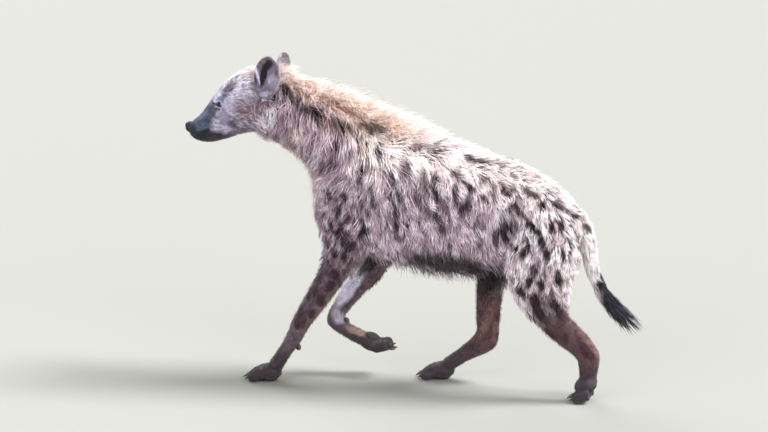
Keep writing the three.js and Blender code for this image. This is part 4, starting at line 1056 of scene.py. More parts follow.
# Darker tufts are browner, as painted shade: the power of their tone in red, green and blue
SHADE_TONE_POWERS = np.array([0.9, 1.08, 1.0])
# and brighter tufts are greyer, as painted highlight, with this much of each
HIGHLIGHT_GREY = np.array([1.0, 0.97, 1.04])
# The size of a tuft's patch of the OFBake map
TUFT_PATCH = 0.003
# Roots start this far under the skin, in millimetres
ROOT_DEPTH = 1.5
# Tufts that reach further to a side than this, in metres, or across an ear, are left out. An ear
# clears them over this share of its half sizes, and this far in front and behind, in millimetres
SIDE_REACH, EAR_CLEAR, EAR_CLEAR_DEEP = 0.158, 0.95, 16
# How long, high and wide a loose hair is against its clump's
LOOSE_LONG, LOOSE_HIGH, LOOSE_WIDE = 1.12, 1.22, 0.5
# Share of the way down the tail from which its hair stands free, as a brush
BRUSH_FROM = 0.42


def draw_tufts(name, points, colours, uvs):
    """Closed three-sided tufts of (tuft, point, axis) as one mesh, with the colour of each point and
    the OFBake map. The points of a tuft run ring by ring to its tip."""
    tufts, tip = len(points), points.shape[1] - 1
    faces = [(0, 2, 1)]
    for low in range(0, tip - 3, 3):
        for a, b in ((low, low + 1), (low + 1, low + 2), (low + 2, low)):
            faces += [(a, b, b + 3), (a, b + 3, a + 3)]
    faces += [(tip - 3, tip - 2, tip), (tip - 2, tip - 1, tip), (tip - 1, tip - 3, tip)]
    faces = (np.array(faces)[None] + np.arange(tufts)[:, None, None] * (tip + 1)).reshape(-1, 3)
    mesh = bpy.data.meshes.new(name)
    mesh.vertices.add(tufts * (tip + 1))
    mesh.vertices.foreach_set("co", points.ravel())
    mesh.loops.add(faces.size)
    mesh.loops.foreach_set("vertex_index", faces.ravel())
    mesh.polygons.add(len(faces))
    mesh.polygons.foreach_set("loop_start", np.arange(len(faces)) * 3)
    mesh.polygons.foreach_set("use_smooth", np.ones(len(faces), bool))
    layer = mesh.uv_layers.new(name="OFBake")
    layer.data.foreach_set("uv", uvs.reshape(-1, 2)[faces.ravel()].ravel())
    mesh.update(calc_edges=True)
    obj = linked(name, mesh)
    paint(obj, colours.reshape(-1, 3))
    return obj


def clumped(roots, size, random):
    """Gathers roots round leaders: the place of each root's leader, and the draws that they share."""
    leaders = random.choice(len(roots), max(len(roots) // size, 1), replace=False)
    group = nearest_of(roots[leaders], roots)
    return roots[leaders[group]], random.normal(size=(len(leaders), 5))[group]


def belly_share(table):
    """1 on the underside of the trunk, where hair hangs, and 0 on its sides."""
    return ramp(-table[:, RISE], 40, 70) * of_kind(table, "trunk")


def clear_tufts(points, table):
    """Which tufts stay within the model's sides and off the ears that they don't grow on."""
    kept = np.abs(points[:, :, 1]).max(axis=1) < SIDE_REACH
    for ear in EARS:
        cup = moved_back(unplaced(points.reshape(-1, 3)), ear_basis(ear))
        near = (np.hypot(cup[:, 0] / EAR_HALF[0], cup[:, 2] / EAR_HALF[2]) < EAR_CLEAR) \
            & (np.abs(cup[:, 1]) < EAR_CLEAR_DEEP)
        kept &= of_kind(table, ear) | ~near.reshape(len(points), -1).any(axis=1)
    return kept


def tuft_colours(middles, flows, table, spots, shares, draws, uneven, root_shade, random):
    """The colour of each point of the tufts, dark at the root. The markings show where each length
    of a tuft lies, with ragged edges along the hair."""
    count = len(table)
    calm = 1 - 0.45 * ramp(table[:, RISE], 25, 55) * of_kind(table, "trunk")
    # each clump's tone differs at random; the darker ones take the brown of painted shade and the brighter
    # ones the grey of painted highlight
    tone = np.exp(uneven * calm * (0.75 * draws + 0.5 * random.normal(size=count)))
    tone = np.clip(tone, 0.25, 1.5)[:, None]
    highlight_grey = np.clip(tone - 1, 0, 0.5)
    tone = tone ** np.where(tone < 1, SHADE_TONE_POWERS, 1.0)
    shift = flows * (3.5 * random.normal(size=count))[:, None]
    body = [coat_colours(unplaced(middle) + shift, table, spots) * tone for middle in middles[1:]]
    body = [each + (each.mean(axis=1, keepdims=True) * HIGHLIGHT_GREY - each) * highlight_grey for each in body]
    light = np.interp(shares[1:] + (1.0,), [0.2, 0.7, 1], [0.7, 1, 1.1])
    stages = [body[0] * root_shade] + [each * share for each, share in zip(body, light)]
    colours = np.stack([stage for stage in stages[:-1] for _ in range(3)] + [stages[-1]], axis=1)
    return np.clip(colours, 0.002, 0.95)


def grow_tufts(name, hide, weight, spots, seed, count, stations, least=4.0, longer=2.0, width=(1.3, 0.036),
               stand=1.0, ragged=0.12, wander=9.0, bend=0.12, clump=12, pull=0.7, droop=0.0, fly=0.1,
               uneven=0.36, root_shade=0.35):
    """Grows closed tufts that lie along the skin and gather in clumps at their tips.
    A tuft is least mm long, and longer times the coat's depth on top of that. Its width is a pair:
    mm, and a share of its length. stand is how near its tip comes to the coat's full depth, wander how
    far clumps turn from the lie in degrees, bend how much they curve, pull how far tips close up, droop
    how far they hang, and fly the share of thin hairs that stand out."""
    random = np.random.default_rng(seed)
    roots, normals, table = hide.roots(count, weight, random)
    flows, depth = unit(table[:, FLOW]), table[:, DEPTH]
    leaders, draws = clumped(roots, clump, random)
    loose = random.random(count) < fly
    sizes = bpy.context.scene.hyena_sizes
    length = (least + longer * depth) * random.uniform(0.8, 1.15, count) * sizes.hair_length
    length *= np.clip(1 + 0.12 * draws[:, 2], 0.7, 1.3) * np.where(loose, LOOSE_LONG, 1.0)
    high = np.clip(1 + 0.14 * draws[:, 1] + ragged * random.normal(size=count), 0.5, 1.35)
    high *= np.where(loose, LOOSE_HIGH, 1.0)
    turn = np.radians(wander * draws[:, 0] + 0.8 * wander * random.normal(size=count)
                      + 1.3 * wander * noise(unplaced(roots), 45, seed))
    across = np.cross(normals, flows)
    flows = unit(flows * np.cos(turn)[:, None] + across * np.sin(turn)[:, None])
    across = np.cross(normals, flows) * (length * bend * draws[:, 4] * MM)[:, None]
    gather = leaders - roots
    far = np.linalg.norm(gather, axis=1, keepdims=True)
    gather *= pull * np.minimum(1, 0.3 * length[:, None] * MM / np.maximum(far, 1e-6))
    shares, rises, wides = STATIONS[stations]
    # hair of the ears and the brush stands free, and all other hair follows the skin
    free = (of_kind(table, *EARS) | (of_kind(table, "tail") & (table[:, ALONG] > BRUSH_FROM)))[:, None]
    middles, outs = [roots - normals * ROOT_DEPTH * MM], [normals]
    for share, rise in list(zip(shares, rises))[1:] + [(1.0, 1.0)]:
        ahead = roots + flows * (length * share * MM)[:, None] + gather * share ** 1.4 \
            + across * share ** 2
        spot, out = hide.nearest(ahead)
        spot, out = np.where(free, ahead, spot), np.where(free, normals, out)
        tall = depth * stand * rise * high * MM
        fall = (droop + 0.25 * belly_share(table)) * share ** 2 * length * MM
        middles.append(spot + out * tall[:, None] - np.array([0, 0, 1.0]) * fall[:, None])
        outs.append(out)
    wide = (width[0] + width[1] * length) * random.uniform(0.75, 1.25, count) * MM * sizes.hair_width
    wide *= np.where(loose, LOOSE_WIDE, 1.0)
    rings = []
    for step in range(stations):
        sideways = unit(np.cross(outs[step], unit(middles[step + 1] - middles[step])))
        half = (wide * wides[step] / 2)[:, None]
        rings += [middles[step] + sideways * half,
                  middles[step] + outs[step] * half * 0.7, middles[step] - sideways * half]
    points = np.stack(rings + [middles[-1]], axis=1)
    points[:, :, 2] = np.maximum(points[:, :, 2], TUFT_CLEAR * MM)
    kept = clear_tufts(points, table)
    colours = tuft_colours(middles, flows, table, spots, shares, draws[:, 3], uneven, root_shade, random)
    local = np.array([(a, s) for s in shares for a in (0.0, 0.5, 1.0)] + [(0.5, 1.0)])
    uvs = table[:, None, [U, V]] + TUFT_PATCH * (local[None] - 0.5)
    return draw_tufts(name, points[kept], colours[kept], uvs[kept])


# Settings

COLOURS = {
    # The back's near-white is painted highlight of the light from above
    "flank": ("#CBB5C4", "Hair of the flanks"), "back": ("#FBEAEC", "Hair along the back"),
    "crest": ("#FBDACC", "Bristles of the crest"), "tan": ("#AC8068", "Tan streaks of the neck"),
    "neck": ("#B798A8", "Hair of the neck"), "throat": ("#F0D8D6", "Hair of the throat"),
    # The belly's fringe colour is dark hair, and is also laid as painted shade under the belly and inside
    # the upper legs
    "ruff": ("#E6DAEC", "Pale ruff behind the cheeks"), "fringe": ("#2A1C1C", "Fringe of the belly"),
    "dark_brown": ("#33242A", "Dark patches of the neck and jaw"),
    "shade": ("#93959F", "Grey patch in front of the thigh"),
    "shoulder": ("#B399A8", "Hair of the shoulders"), "haunch": ("#F2E0EA", "Hair of the haunches"),
    "fore_leg": ("#5C4A56", "Hair of the forelegs"), "hind_leg": ("#53373D", "Hair of the hind legs"),
    "rear_edge": ("#7C5C52", "Rear edge of the legs"), "leg_shade": ("#41343E", "Front of the forearm"),
    "leg_brown": ("#4C3136", "Brown of the thigh"), "rf_arm": ("#CDC6DA", "Inside of the forearm"),
    "sole_tan": ("#A58577", "Hair between the pads"), "foot": ("#2F262D", "Hair of the feet"),
    "tail_root": ("#FFF0F4", "Hair of the tail's root"), "brush": ("#1C1B2A", "Hair of the tail brush"),
    "spot": ("#341C27", "Spots"), "cheek": ("#CBC2DE", "Hair of the cheeks"),
    "pale_cheek": ("#E2DCF0", "Pale band over the cheek"), "forehead": ("#6E5666", "Stripe of the forehead"),
    "jaw_brown": ("#A08088", "Brown of the jaw"), "muzzle": ("#464E64", "Hair of the muzzle"),
    # The bridge of the nose is a painted highlight on the dark muzzle
    "bridge": ("#737C9F", "Bridge of the nose"), "tear_mark": ("#303B55", "Mark in front of the eye"),
    "lips": ("#101119", "Lips, chin and lids"), "brow": ("#7F87A6", "Patch over the eyes"),
    # The inside of the ears is painted shade in their hollow
    "ear_back": ("#6A5E6C", "Back of the ears"), "ear_cavity_shade": ("#0C090C", "Inside of the ears"),
    "ear_wall": ("#6C6276", "Rear wall inside the ears"),
}
SPOT_STRENGTH = {"faint": 0.7, "plain": 0.9, "strong": 1.0}
# How far a spot reaches through the coat, how far past its half length it may fade, and the least
# distance between the right side's spots, on the trunk and on the limbs. In millimetres.
SPOT_DEPTH, SPOT_FADE, SPOT_GAP, LIMB_SPOT_GAP = 45, 25, 33, 27
# The rays that lay the left side's spots start from this y, this far towards the camera, and meet
# the coat at this share of its depth under its tips
RAY_START_Y, RAY_BACK, COAT_OUTSIDE = -600, 300, 0.25


class HyenaColours(bpy.types.PropertyGroup):
    """Colours of the coat"""
    __annotations__ = {name: bpy.props.FloatVectorProperty(
        name=name.replace("_", " ").capitalize(), description=words, subtype="COLOR",
        size=3, min=0, max=1, default=tuple(linear(code))) for name, (code, words) in COLOURS.items()}


class HyenaSizes(bpy.types.PropertyGroup):
    """Sizes of the coat and the small parts"""
    hair_length: bpy.props.FloatProperty(
        name="Hair length", description="Length of every tuft against the real coat's",
        default=1.0, min=0.4, max=1.6, subtype="FACTOR")
    hair_width: bpy.props.FloatProperty(
        name="Hair width", description="Width of every tuft against the plan's",
        default=1.0, min=0.3, max=2.0, subtype="FACTOR")
    hair_share: bpy.props.FloatProperty(
        name="Hair share", description="Share of the tufts that are grown",
        default=1.0, min=0.05, max=1.0, subtype="FACTOR")
    spot_spread: bpy.props.FloatProperty(
        name="Spot spread", description="Width of the spots against their dark cores",
        default=1.4, min=0.5, max=2.5, subtype="FACTOR")
    whisker_length: bpy.props.FloatProperty(
        name="Whisker length", description="Length of the longest whisker",
        default=0.058, min=0.02, max=0.1, unit="LENGTH", subtype="DISTANCE")
    whisker_width: bpy.props.FloatProperty(
        name="Whisker width", description="Thickness of a whisker at its root",
        default=0.0007, min=0.0003, max=0.002, unit="LENGTH", subtype="DISTANCE")
    body_cell: bpy.props.FloatProperty(
        name="Body cell", description="Size of the skin's faces on the body",
        default=0.0042, min=0.003, max=0.01, unit="LENGTH", subtype="DISTANCE")
    face_cell: bpy.props.FloatProperty(
        name="Face cell", description="Size of the skin's faces on the head",
        default=0.0017, min=0.0012, max=0.004, unit="LENGTH", subtype="DISTANCE")


# What one operator leaves for the next: the finished skin and its spots
MADE = {}


def hide_of():
    """What the skin operator left for the coat."""
    if "hyena_skin" not in bpy.data.objects:
        raise RuntimeError("Build the skin before the coat")
    if "hide" not in MADE:
        MADE["hide"] = Hide(bpy.data.objects["hyena_skin"].data)
    return MADE["hide"]


def spots_of(hide):
    if "spots" not in MADE:
        MADE["spots"] = left_spots() + right_spots(hide)
    return MADE["spots"]

# Materials

NOISE, CELLS = ("ShaderNodeTexNoise", "Fac"), ("ShaderNodeTexVoronoi", "Distance")
# What each material is made with. surface is its roughness, IOR and specular level, and more holds
# other settings of its shader. pattern is the texture that makes it uneven, with its settings.
# colours is how dark and how light the pattern makes the painted colour, or the two colours that it
# mixes. relief is the pattern's height in metres and its strength. The short fur's pattern runs
# along the hair, in millimetres. The others are laid over each piece's own box, and are finer than
# the render shows, so they only take the flatness away.
MATERIALS = {
    # Short flat fur on skin: a dull nap whose lines run with the hair. Hairs are 0.06 mm thick, and
    # are drawn as locks 1 to 2 mm wide, so that they show.
    "short_flat_fur": dict(
        surface=(0.7, 1.5, 0.25), more={"Sheen Weight": 0.1},
        pattern=NOISE, settings={"Scale": 0.7, "Detail": 4.0, "Roughness": 0.62}, along="grain",
        colours=(0.6, 1.3), relief=(0.0018, 0.9)),
    # Moist bare nose skin, pebbled: black, with a wet shine.
    "moist_nose_leather": dict(
        surface=(0.45, 1.4, 0.4), more={"Coat Weight": 0.12, "Coat Roughness": 0.2},
        pattern=CELLS, settings={"Scale": 700.0}, colours=("#1D1F28", "#0A0A0D"), relief=(0.0005, -0.7)),
    # Dry bare pad skin, cracked by the ground: near black and rough.
    "dry_pad_leather": dict(
        surface=(0.75, 1.45, 0.35), pattern=CELLS, settings={"Scale": 520.0},
        colours=("#332B2B", "#151213"), relief=(0.0006, -0.8)),
    # Claw horn, grown in fine layers: dark, with a dull shine and paler worn tips.
    "claw_horn": dict(
        surface=(0.42, 1.54, 0.5), pattern=NOISE, settings={"Scale": 260.0, "Detail": 2.0},
        colours=(0.7, 1.3), relief=(0.0003, 0.5)),
    # A wet eye: dark brown iris and black pupil under a clear, glossy cornea.
    "wet_eye": dict(
        surface=(0.08, 1.376, 0.6), more={"Coat Weight": 1.0, "Coat Roughness": 0.02},
        pattern=NOISE, settings={"Scale": 900.0, "Detail": 2.0}, colours=(0.75, 1.25)),
    # Matt paper rolled out as a floor: pale and even.
    "matt_paper": dict(
        surface=(0.9, 1.45, 0.2), pattern=NOISE, settings={"Scale": 3.0, "Detail": 4.0},
        colours=("#8B8B88", "#91918E")),
}
# Guard hair, keratin: dull, with a soft shine at a glancing angle. Each kind's roughness and shine.
for hair, (dullness, shine) in {
        "bristle_hair": (0.55, 0.06), "shaggy_hair": (0.62, 0.04), "short_hair": (0.68, 0.03),
        "brush_hair": (0.5, 0.03), "whisker_hair": (0.4, 0.05)}.items():
    MATERIALS[hair] = dict(
        surface=(dullness, 1.55, 0.22), more={"Sheen Weight": shine},
        pattern=NOISE, settings={"Scale": 420.0, "Detail": 3.0}, colours=(0.84, 1.14))


def add_node(tree, kind, inputs=None, **settings):
    """A node with its settings, and its inputs set to numbers or linked to outputs."""
    node = tree.nodes.new(kind)
    for key, value in settings.items():
        setattr(node, key, value)
    for key, value in (inputs or {}).items():
        if isinstance(value, bpy.types.NodeSocket):
            tree.links.new(value, node.inputs[key])
        else:
            node.inputs[key].default_value = value
    return node


def material_of(name):
    """The material of that name, made when it is first asked for."""
    if name in bpy.data.materials:
        return bpy.data.materials[name]
    plan = MATERIALS[name]
    material = bpy.data.materials.new(name)
    material.use_nodes = True
    tree = material.node_tree
    shader = tree.nodes["Principled BSDF"]
    sockets = dict(zip(("Roughness", "IOR", "Specular IOR Level"), plan["surface"]), **plan.get("more", {}))
    for socket, value in sockets.items():
        shader.inputs[socket].default_value = value
    inputs = dict(plan["settings"])
    if "along" in plan:
        grain = add_node(tree, "ShaderNodeAttribute", attribute_name=plan["along"])
        inputs["Vector"] = grain.outputs["Vector"]
    kind, output = plan["pattern"]
    pattern = add_node(tree, kind, inputs).outputs[output]
    low, high = plan["colours"]
    if isinstance(low, str):
        mix = add_node(tree, "ShaderNodeValToRGB", {"Fac": pattern})
        for stop, code in zip(mix.color_ramp.elements, (low, high)):
            stop.color = (*linear(code), 1)
        colour = mix.outputs["Color"]
    else:
        tint = add_node(tree, "ShaderNodeAttribute", attribute_name="tint").outputs["Color"]
        spread = add_node(tree, "ShaderNodeMapRange", {
            "From Min": 0.3, "From Max": 0.7, "To Min": low, "To Max": high, "Value": pattern})
        colour = add_node(tree, "ShaderNodeVectorMath", {0: tint, 1: spread.outputs["Result"]},
                          operation="MULTIPLY").outputs["Vector"]
    tree.links.new(colour, shader.inputs["Base Color"])
    if "relief" in plan:
        height, strength = plan["relief"]
        bump = add_node(tree, "ShaderNodeBump", {"Height": pattern, "Distance": height,
                                                 "Strength": strength})
        tree.links.new(bump.outputs["Normal"], shader.inputs["Normal"])
    return material


def dress(obj, finish, slot, *nodes):
    """Gives a piece its one material, lets it ride with the body and takes the place of its
    solid nodes. Its slot is not used."""
    obj.data.materials.clear()
    obj.data.materials.append(material_of(finish))
    obj.data.polygons.foreach_set("material_index", [0] * len(obj.data.polygons))
    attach(obj, "root")
    if nodes:
        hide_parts(*nodes)


def paint(obj, colours, grain=None):
    """Gives each vertex its colour, and the coordinates that the short fur's grain runs in."""
    tint = obj.data.color_attributes.new("tint", "FLOAT_COLOR", "POINT")
    tint.data.foreach_set("color", np.hstack([colours, np.ones((len(colours), 1))]).ravel())
    if grain is not None:
        layer = obj.data.attributes.new("grain", "FLOAT_VECTOR", "POINT")
        layer.data.foreach_set("vector", grain.ravel())


# Operators

class HYENA_OT_skin(bpy.types.Operator):
    """Build the bare skin, with lids, lips, ears, toes and pads"""
    bl_idname = "hyena.skin"
    bl_label = "Skin"

    def execute(self, context):
        hide = make_hide(context.scene.hyena_sizes)
        hide.data.polygons.foreach_set("use_smooth", [True] * len(hide.data.polygons))
        flesh = [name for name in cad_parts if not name.startswith(("eye", "nose"))]
        dress(hide, "short_flat_fur", "body_coat", *flesh)
        return {"FINISHED"}


class HYENA_OT_markings(bpy.types.Operator):
    """Paint the skin with the colours and spots that the coat carries too"""
    bl_idname = "hyena.markings"
    bl_label = "Markings"

    def execute(self, context):
        hide = hide_of()
        colours = coat_colours(unplaced(hide.points), hide.table, spots_of(hide))
        # the skin under long hair is shaded
        long = hide.table[:, DEPTH] + 10 * of_kind(hide.table, "trunk")
        colours *= np.interp(long, [7, 17], [1, 0.32])[:, None]
        paint(bpy.data.objects["hyena_skin"], colours, hide.table[:, GRAIN])
        return {"FINISHED"}


# What both sides of the flanks and of the haunches share. The right side's tufts are fewer and wider.
FLANK = dict(stations=3, longer=2.3, bend=0.3, clump=16, pull=0.85, uneven=0.6)
HAUNCH = dict(stations=3, longer=1.8, bend=0.18, uneven=0.42)
# The coat's pieces by operator, each with its slot, its finish and its plan
COATS = {
    "mane": {
        "coat_crest": ("mane_coat", "bristle_hair", dict(
            count=8900, stations=4, longer=1.35, width=(0.5, 0.018), stand=1.12, ragged=0.22,
            wander=13, bend=0.22, clump=8, pull=0.8, fly=0.22, uneven=0.48)),
        "coat_neck": ("mane_coat", "shaggy_hair", dict(
            count=11000, stations=3, longer=1.8, width=(0.62, 0.021), ragged=0.2, wander=15,
            bend=0.28, clump=9, fly=0.15, uneven=0.64))},
    "flanks": {
        "coat_flank_left": ("body_coat", "shaggy_hair", dict(FLANK, count=12000, width=(0.8, 0.024))),
        "coat_flank_right": ("body_coat", "shaggy_hair", dict(FLANK, count=8400, width=(1.0, 0.028)))},
    "haunches": {
        "coat_rear_left": ("body_coat", "shaggy_hair", dict(HAUNCH, count=12000, width=(0.7, 0.026))),
        "coat_rear_right": ("body_coat", "shaggy_hair", dict(HAUNCH, count=8400, width=(0.9, 0.03)))},
    "belly": {
        "coat_belly": ("body_coat", "shaggy_hair", dict(
            count=1200, stations=4, least=14, longer=1.6, width=(0.8, 0.02), droop=0.45, wander=16,
            bend=0.28, clump=6, fly=0.4, stand=0.9))},
    "legs": {
        "coat_legs": ("leg_coat", "short_hair", dict(
            count=12500, stations=2, longer=1.3, width=(0.6, 0.024), stand=0.8, clump=5, uneven=0.42,
            root_shade=0.5, fly=0.05))},
    "face": {
        "coat_cheeks": ("face_coat", "short_hair", dict(
            count=15000, stations=2, least=3.5, longer=1.25, width=(0.35, 0.016), stand=0.75, clump=5,
            pull=0.6, uneven=0.62, root_shade=0.45, fly=0.06)),
        "coat_muzzle": ("face_coat", "short_hair", dict(
            count=6000, stations=2, least=4.5, longer=0.7, width=(0.3, 0.012), stand=0.5, clump=4,
            uneven=0.18, root_shade=0.75, fly=0.0)),
        "coat_ears": ("face_coat", "short_hair", dict(
            count=3800, stations=2, least=4, longer=0.9, width=(0.35, 0.016), stand=0.5, clump=4,
            uneven=0.25, root_shade=0.7, fly=0.1))},
    "tail": {
        "coat_tail": ("tail_hair", "brush_hair", dict(
            count=3500, stations=4, least=6, longer=2.6, width=(0.9, 0.02), wander=3, bend=0.12,
            clump=10, pull=0.6, uneven=0.3, fly=0.04, root_shade=0.75, stand=0.95))},
}
# Where pieces of the coat meet. In degrees over the side: the crest's lower edge and the belly's
# upper one. Along x: the rear ends of the crest, the neck, the flanks and the muzzle. And the depth
# of the longest short hair of the limbs.
CREST_RISE, BELLY_RISE = 58, -56
CREST_END, NECK_END, FLANK_END, MUZZLE_END = 40, -215, 130, -596
SHORT_HAIR = 9
# How far from the eye's middle, the nose and the mouth line the face is bare
BARE_EYE, BARE_NOSE, BARE_MOUTH = 18, 25, 3.5


def coat_weight(name, hide):
    """Where on the skin a piece of the coat grows, and how thick."""
    table = hide.table
    points = unplaced(hide.points)
    x, y, z = points.T
    along, rise, depth = table[:, ALONG], table[:, RISE], table[:, DEPTH]
    trunk, head, feet = (of_kind(table, part) for part in ("trunk", "head", "feet"))
    limb = of_kind(table, *LIMBS)
    crest = trunk & (rise > CREST_RISE) & (x < CREST_END)
    neck = trunk & (x < NECK_END) & ~crest
    body = (trunk | (limb & (depth > SHORT_HAIR))) & ~crest & ~neck
    if name == "coat_crest":
        return crest + head * (rise > 50) * 0.8 * ramp(x, -505, -455)
    if name == "coat_neck":
        return neck * (1 + 1.2 * ramp(-x, 385, 430)) + head * 0.6 * ramp(x, -520, -465)
    if name.startswith(("coat_flank", "coat_rear")):
        length = x < FLANK_END if "flank" in name else x >= FLANK_END
        return body * length * (y < 0 if name.endswith("left") else y >= 0) * 1.0
    if name == "coat_belly":
        return trunk * (rise < BELLY_RISE) * (x > -150) * (x < 330) * (np.abs(y) > 12) * 1.0
    if name == "coat_legs":
        sole = feet & (hide.normals[:, 2] < -0.5)
        return (limb * (depth <= SHORT_HAIR) + feet * 1.0) * ~sole
    if name == "coat_ears":
        return of_kind(table, *EARS) * 1.0
    if name == "coat_tail":
        return of_kind(table, "tail") * (1 + 2.0 * ramp(along, 0.35, 0.6))
    eye = np.linalg.norm(points * (1, 0, 1) + np.abs(points) * (0, 1, 0) - EYE, axis=1)
    mouth = (np.abs(z - np.interp(x, MOUTH[:, 0], MOUTH[:, 1])) < BARE_MOUTH) & (x < -585)
    bare = (eye < BARE_EYE) | mouth | (np.linalg.norm(points - NOSE, axis=1) < BARE_NOSE)
    return head * ~bare * ((x > MUZZLE_END) if name == "coat_cheeks" else (x <= MUZZLE_END)) * 1.0


def grow_coats(group):
    """Grows the coat pieces of one operator."""
    hide = hide_of()
    share = bpy.context.scene.hyena_sizes.hair_share
    for name, (slot, finish, plan) in COATS[group].items():
        plan = dict(plan, count=int(plan["count"] * share))
        coat = grow_tufts(name, hide, coat_weight(name, hide), spots_of(hide), sum(name.encode()), **plan)
        dress(coat, finish, slot)
    return {"FINISHED"}


class HYENA_OT_mane(bpy.types.Operator):
    """Grow the bristles of the crest and the shaggy hair of the neck"""
    bl_idname = "hyena.mane"
    bl_label = "Crest and neck"

    def execute(self, context):
        return grow_coats("mane")


class HYENA_OT_flanks(bpy.types.Operator):
    """Grow the long hair of the shoulders and flanks"""
    bl_idname = "hyena.flanks"
    bl_label = "Flanks"

    def execute(self, context):
        return grow_coats("flanks")


class HYENA_OT_haunches(bpy.types.Operator):
    """Grow the hair of the loins, rump and thighs"""
    bl_idname = "hyena.haunches"
    bl_label = "Haunches"

    def execute(self, context):
        return grow_coats("haunches")


class HYENA_OT_belly(bpy.types.Operator):
    """Hang the dark fringe under the belly"""
    bl_idname = "hyena.belly"
    bl_label = "Belly fringe"

    def execute(self, context):
        return grow_coats("belly")


class HYENA_OT_legs(bpy.types.Operator):
    """Grow the short hair of the legs and feet"""
    bl_idname = "hyena.legs"
    bl_label = "Legs"

    def execute(self, context):
        return grow_coats("legs")


class HYENA_OT_face(bpy.types.Operator):
    """Grow the short hair of the cheeks, muzzle and ears"""
    bl_idname = "hyena.face"
    bl_label = "Face and ears"

    def execute(self, context):
        return grow_coats("face")


class HYENA_OT_tail(bpy.types.Operator):
    """Grow the tail's pale root and black brush"""
    bl_idname = "hyena.tail"
    bl_label = "Tail"

    def execute(self, context):
        return grow_coats("tail")


def bent_hair(root, ways, length, width, steps=5):
    """A tapered three-sided hair as (points, faces): it starts along ways[0] and bends to ways[1]."""
    rings = []
    for step in range(steps):
        share = step / steps
        middle = root + length * (ways[0] * share + ways[1] * share ** 2)
        ahead = unit(ways[0] + 2 * share * ways[1])
        side = unit(np.cross(ahead, (0.1, 0.2, 1.0)))
        other = np.cross(ahead, side)
        half = width / 2 * (1 - 0.8 * share)
        rings.append(np.array([middle + half * (math.cos(turn) * side + math.sin(turn) * other)
                               for turn in (0, 2 * math.pi / 3, 4 * math.pi / 3)]))
    return closed(rings, [root, root + length * (ways[0] + ways[1])])


def whisker_hairs(hide, side, random, length, width):
    """Rows of whiskers on the upper lip, and a few over the eye, in millimetres."""
    hairs = []
    places = [(-688 + 11 * column, 752 - 7 * row - 2.5 * column) for row in range(4) for column in range(4)]
    for x, z in places + [(-596, 850), (-601, 847), (-590, 851)]:
        lip = z < 800
        near = placed(np.array([x, side * 75, z]) + random.normal(size=3) * 1.2)
        spot, out = hide.nearest(near[None])
        out = out[0] + (0.1 * random.normal(), 0, 0)
        start = unit(out + np.array([-0.35, 0, -0.2 if lip else 0.5]))
        bend = np.array([0.55, 0, -0.25 if lip else 0.3]) * random.uniform(0.7, 1.2)
        hairs.append(bent_hair(unplaced(spot[0]) - start, (start * 0.8, bend),
                               length * random.uniform(0.5, 1.0), width))
    return hairs


def lash_hairs(side, random, width):
    """Short lashes along the upper lid."""
    centre, across, upwards, facing = eye_basis(side)
    hairs = []
    for u in np.linspace(-9.5, 9.5, 17):
        v = lid_height(np.array([u]))[0] + 0.6
        w = math.sqrt(max((EYE_RADIUS + LID_THICKNESS) ** 2 - u * u - v * v, 0)) - 0.6
        start = unit(facing + 0.25 * upwards + across * (u / 20) + 0.08 * random.normal(size=3))
        hairs.append(bent_hair(centre + across * u + upwards * v + facing * w,
                               (start, -0.35 * upwards), random.uniform(4.5, 7), width))
    return hairs


# Colours of the small parts
WHISKER, CLAW, CLAW_TIP, IRIS, EYE_RIM = "#2B262C", "#241D1B", "#5A4A40", "#3A2417", "#1A1413"
# How far the pupil, the iris and the cornea's bulge reach from the middle of the eye, in radians
PUPIL, IRIS_END, CORNEA = 0.27, 0.6, 0.62


class HYENA_OT_whiskers(bpy.types.Operator):
    """Set the whiskers and the eyelashes"""
    bl_idname = "hyena.whiskers"
    bl_label = "Whiskers and lashes"

    def execute(self, context):
        random = np.random.default_rng(31)
        sizes = context.scene.hyena_sizes
        length, width = sizes.whisker_length / MM, sizes.whisker_width / MM
        hairs = []
        for side in (1, -1):
            hairs += whisker_hairs(hide_of(), side, random, length, width)
            hairs += lash_hairs(side, random, width * 0.8)
        whiskers = mesh_object("whiskers", hairs)
        paint(whiskers, plain(linear(WHISKER), len(whiskers.data.vertices)))
        dress(whiskers, "whisker_hair", "face_coat")
        return {"FINISHED"}


def eye_mesh(side):
    """An eyeball with a raised cornea as (points, faces), and the colour of each of its points."""
    centre, across, upwards, facing = eye_basis(side)
    points, faces = ball_skin((0, 0, 0), (1, 1, 1), 48, 40)
    off = np.arccos(np.clip(points[:, 2], -1, 1))
    reach = EYE_RADIUS + 0.9 * np.clip(1 - (off / CORNEA) ** 2, 0, 1)
    local = points * reach[:, None]
    iris = linear(IRIS) * (0.7 + 0.6 * ramp(off, 0.3, 0.55))[:, None]
    colours = np.where((off < PUPIL)[:, None], 0.004, iris)
    colours = toward(colours, linear(EYE_RIM), ramp(off, IRIS_END, IRIS_END + 0.1))
    return (centre + local @ np.stack([across, upwards, facing]), faces), colours


class HYENA_OT_eyes(bpy.types.Operator):
    """Set a wet eye under the lids on each side"""
    bl_idname = "hyena.eyes"
    bl_label = "Eyes"

    def execute(self, context):
        for name, side in (("left", -1), ("right", 1)):
            skin, colours = eye_mesh(side)
            eye = mesh_object("eyeball_" + name, [skin])
            paint(eye, colours)
            dress(eye, "wet_eye", "eye", "eye_" + name)
        return {"FINISHED"}


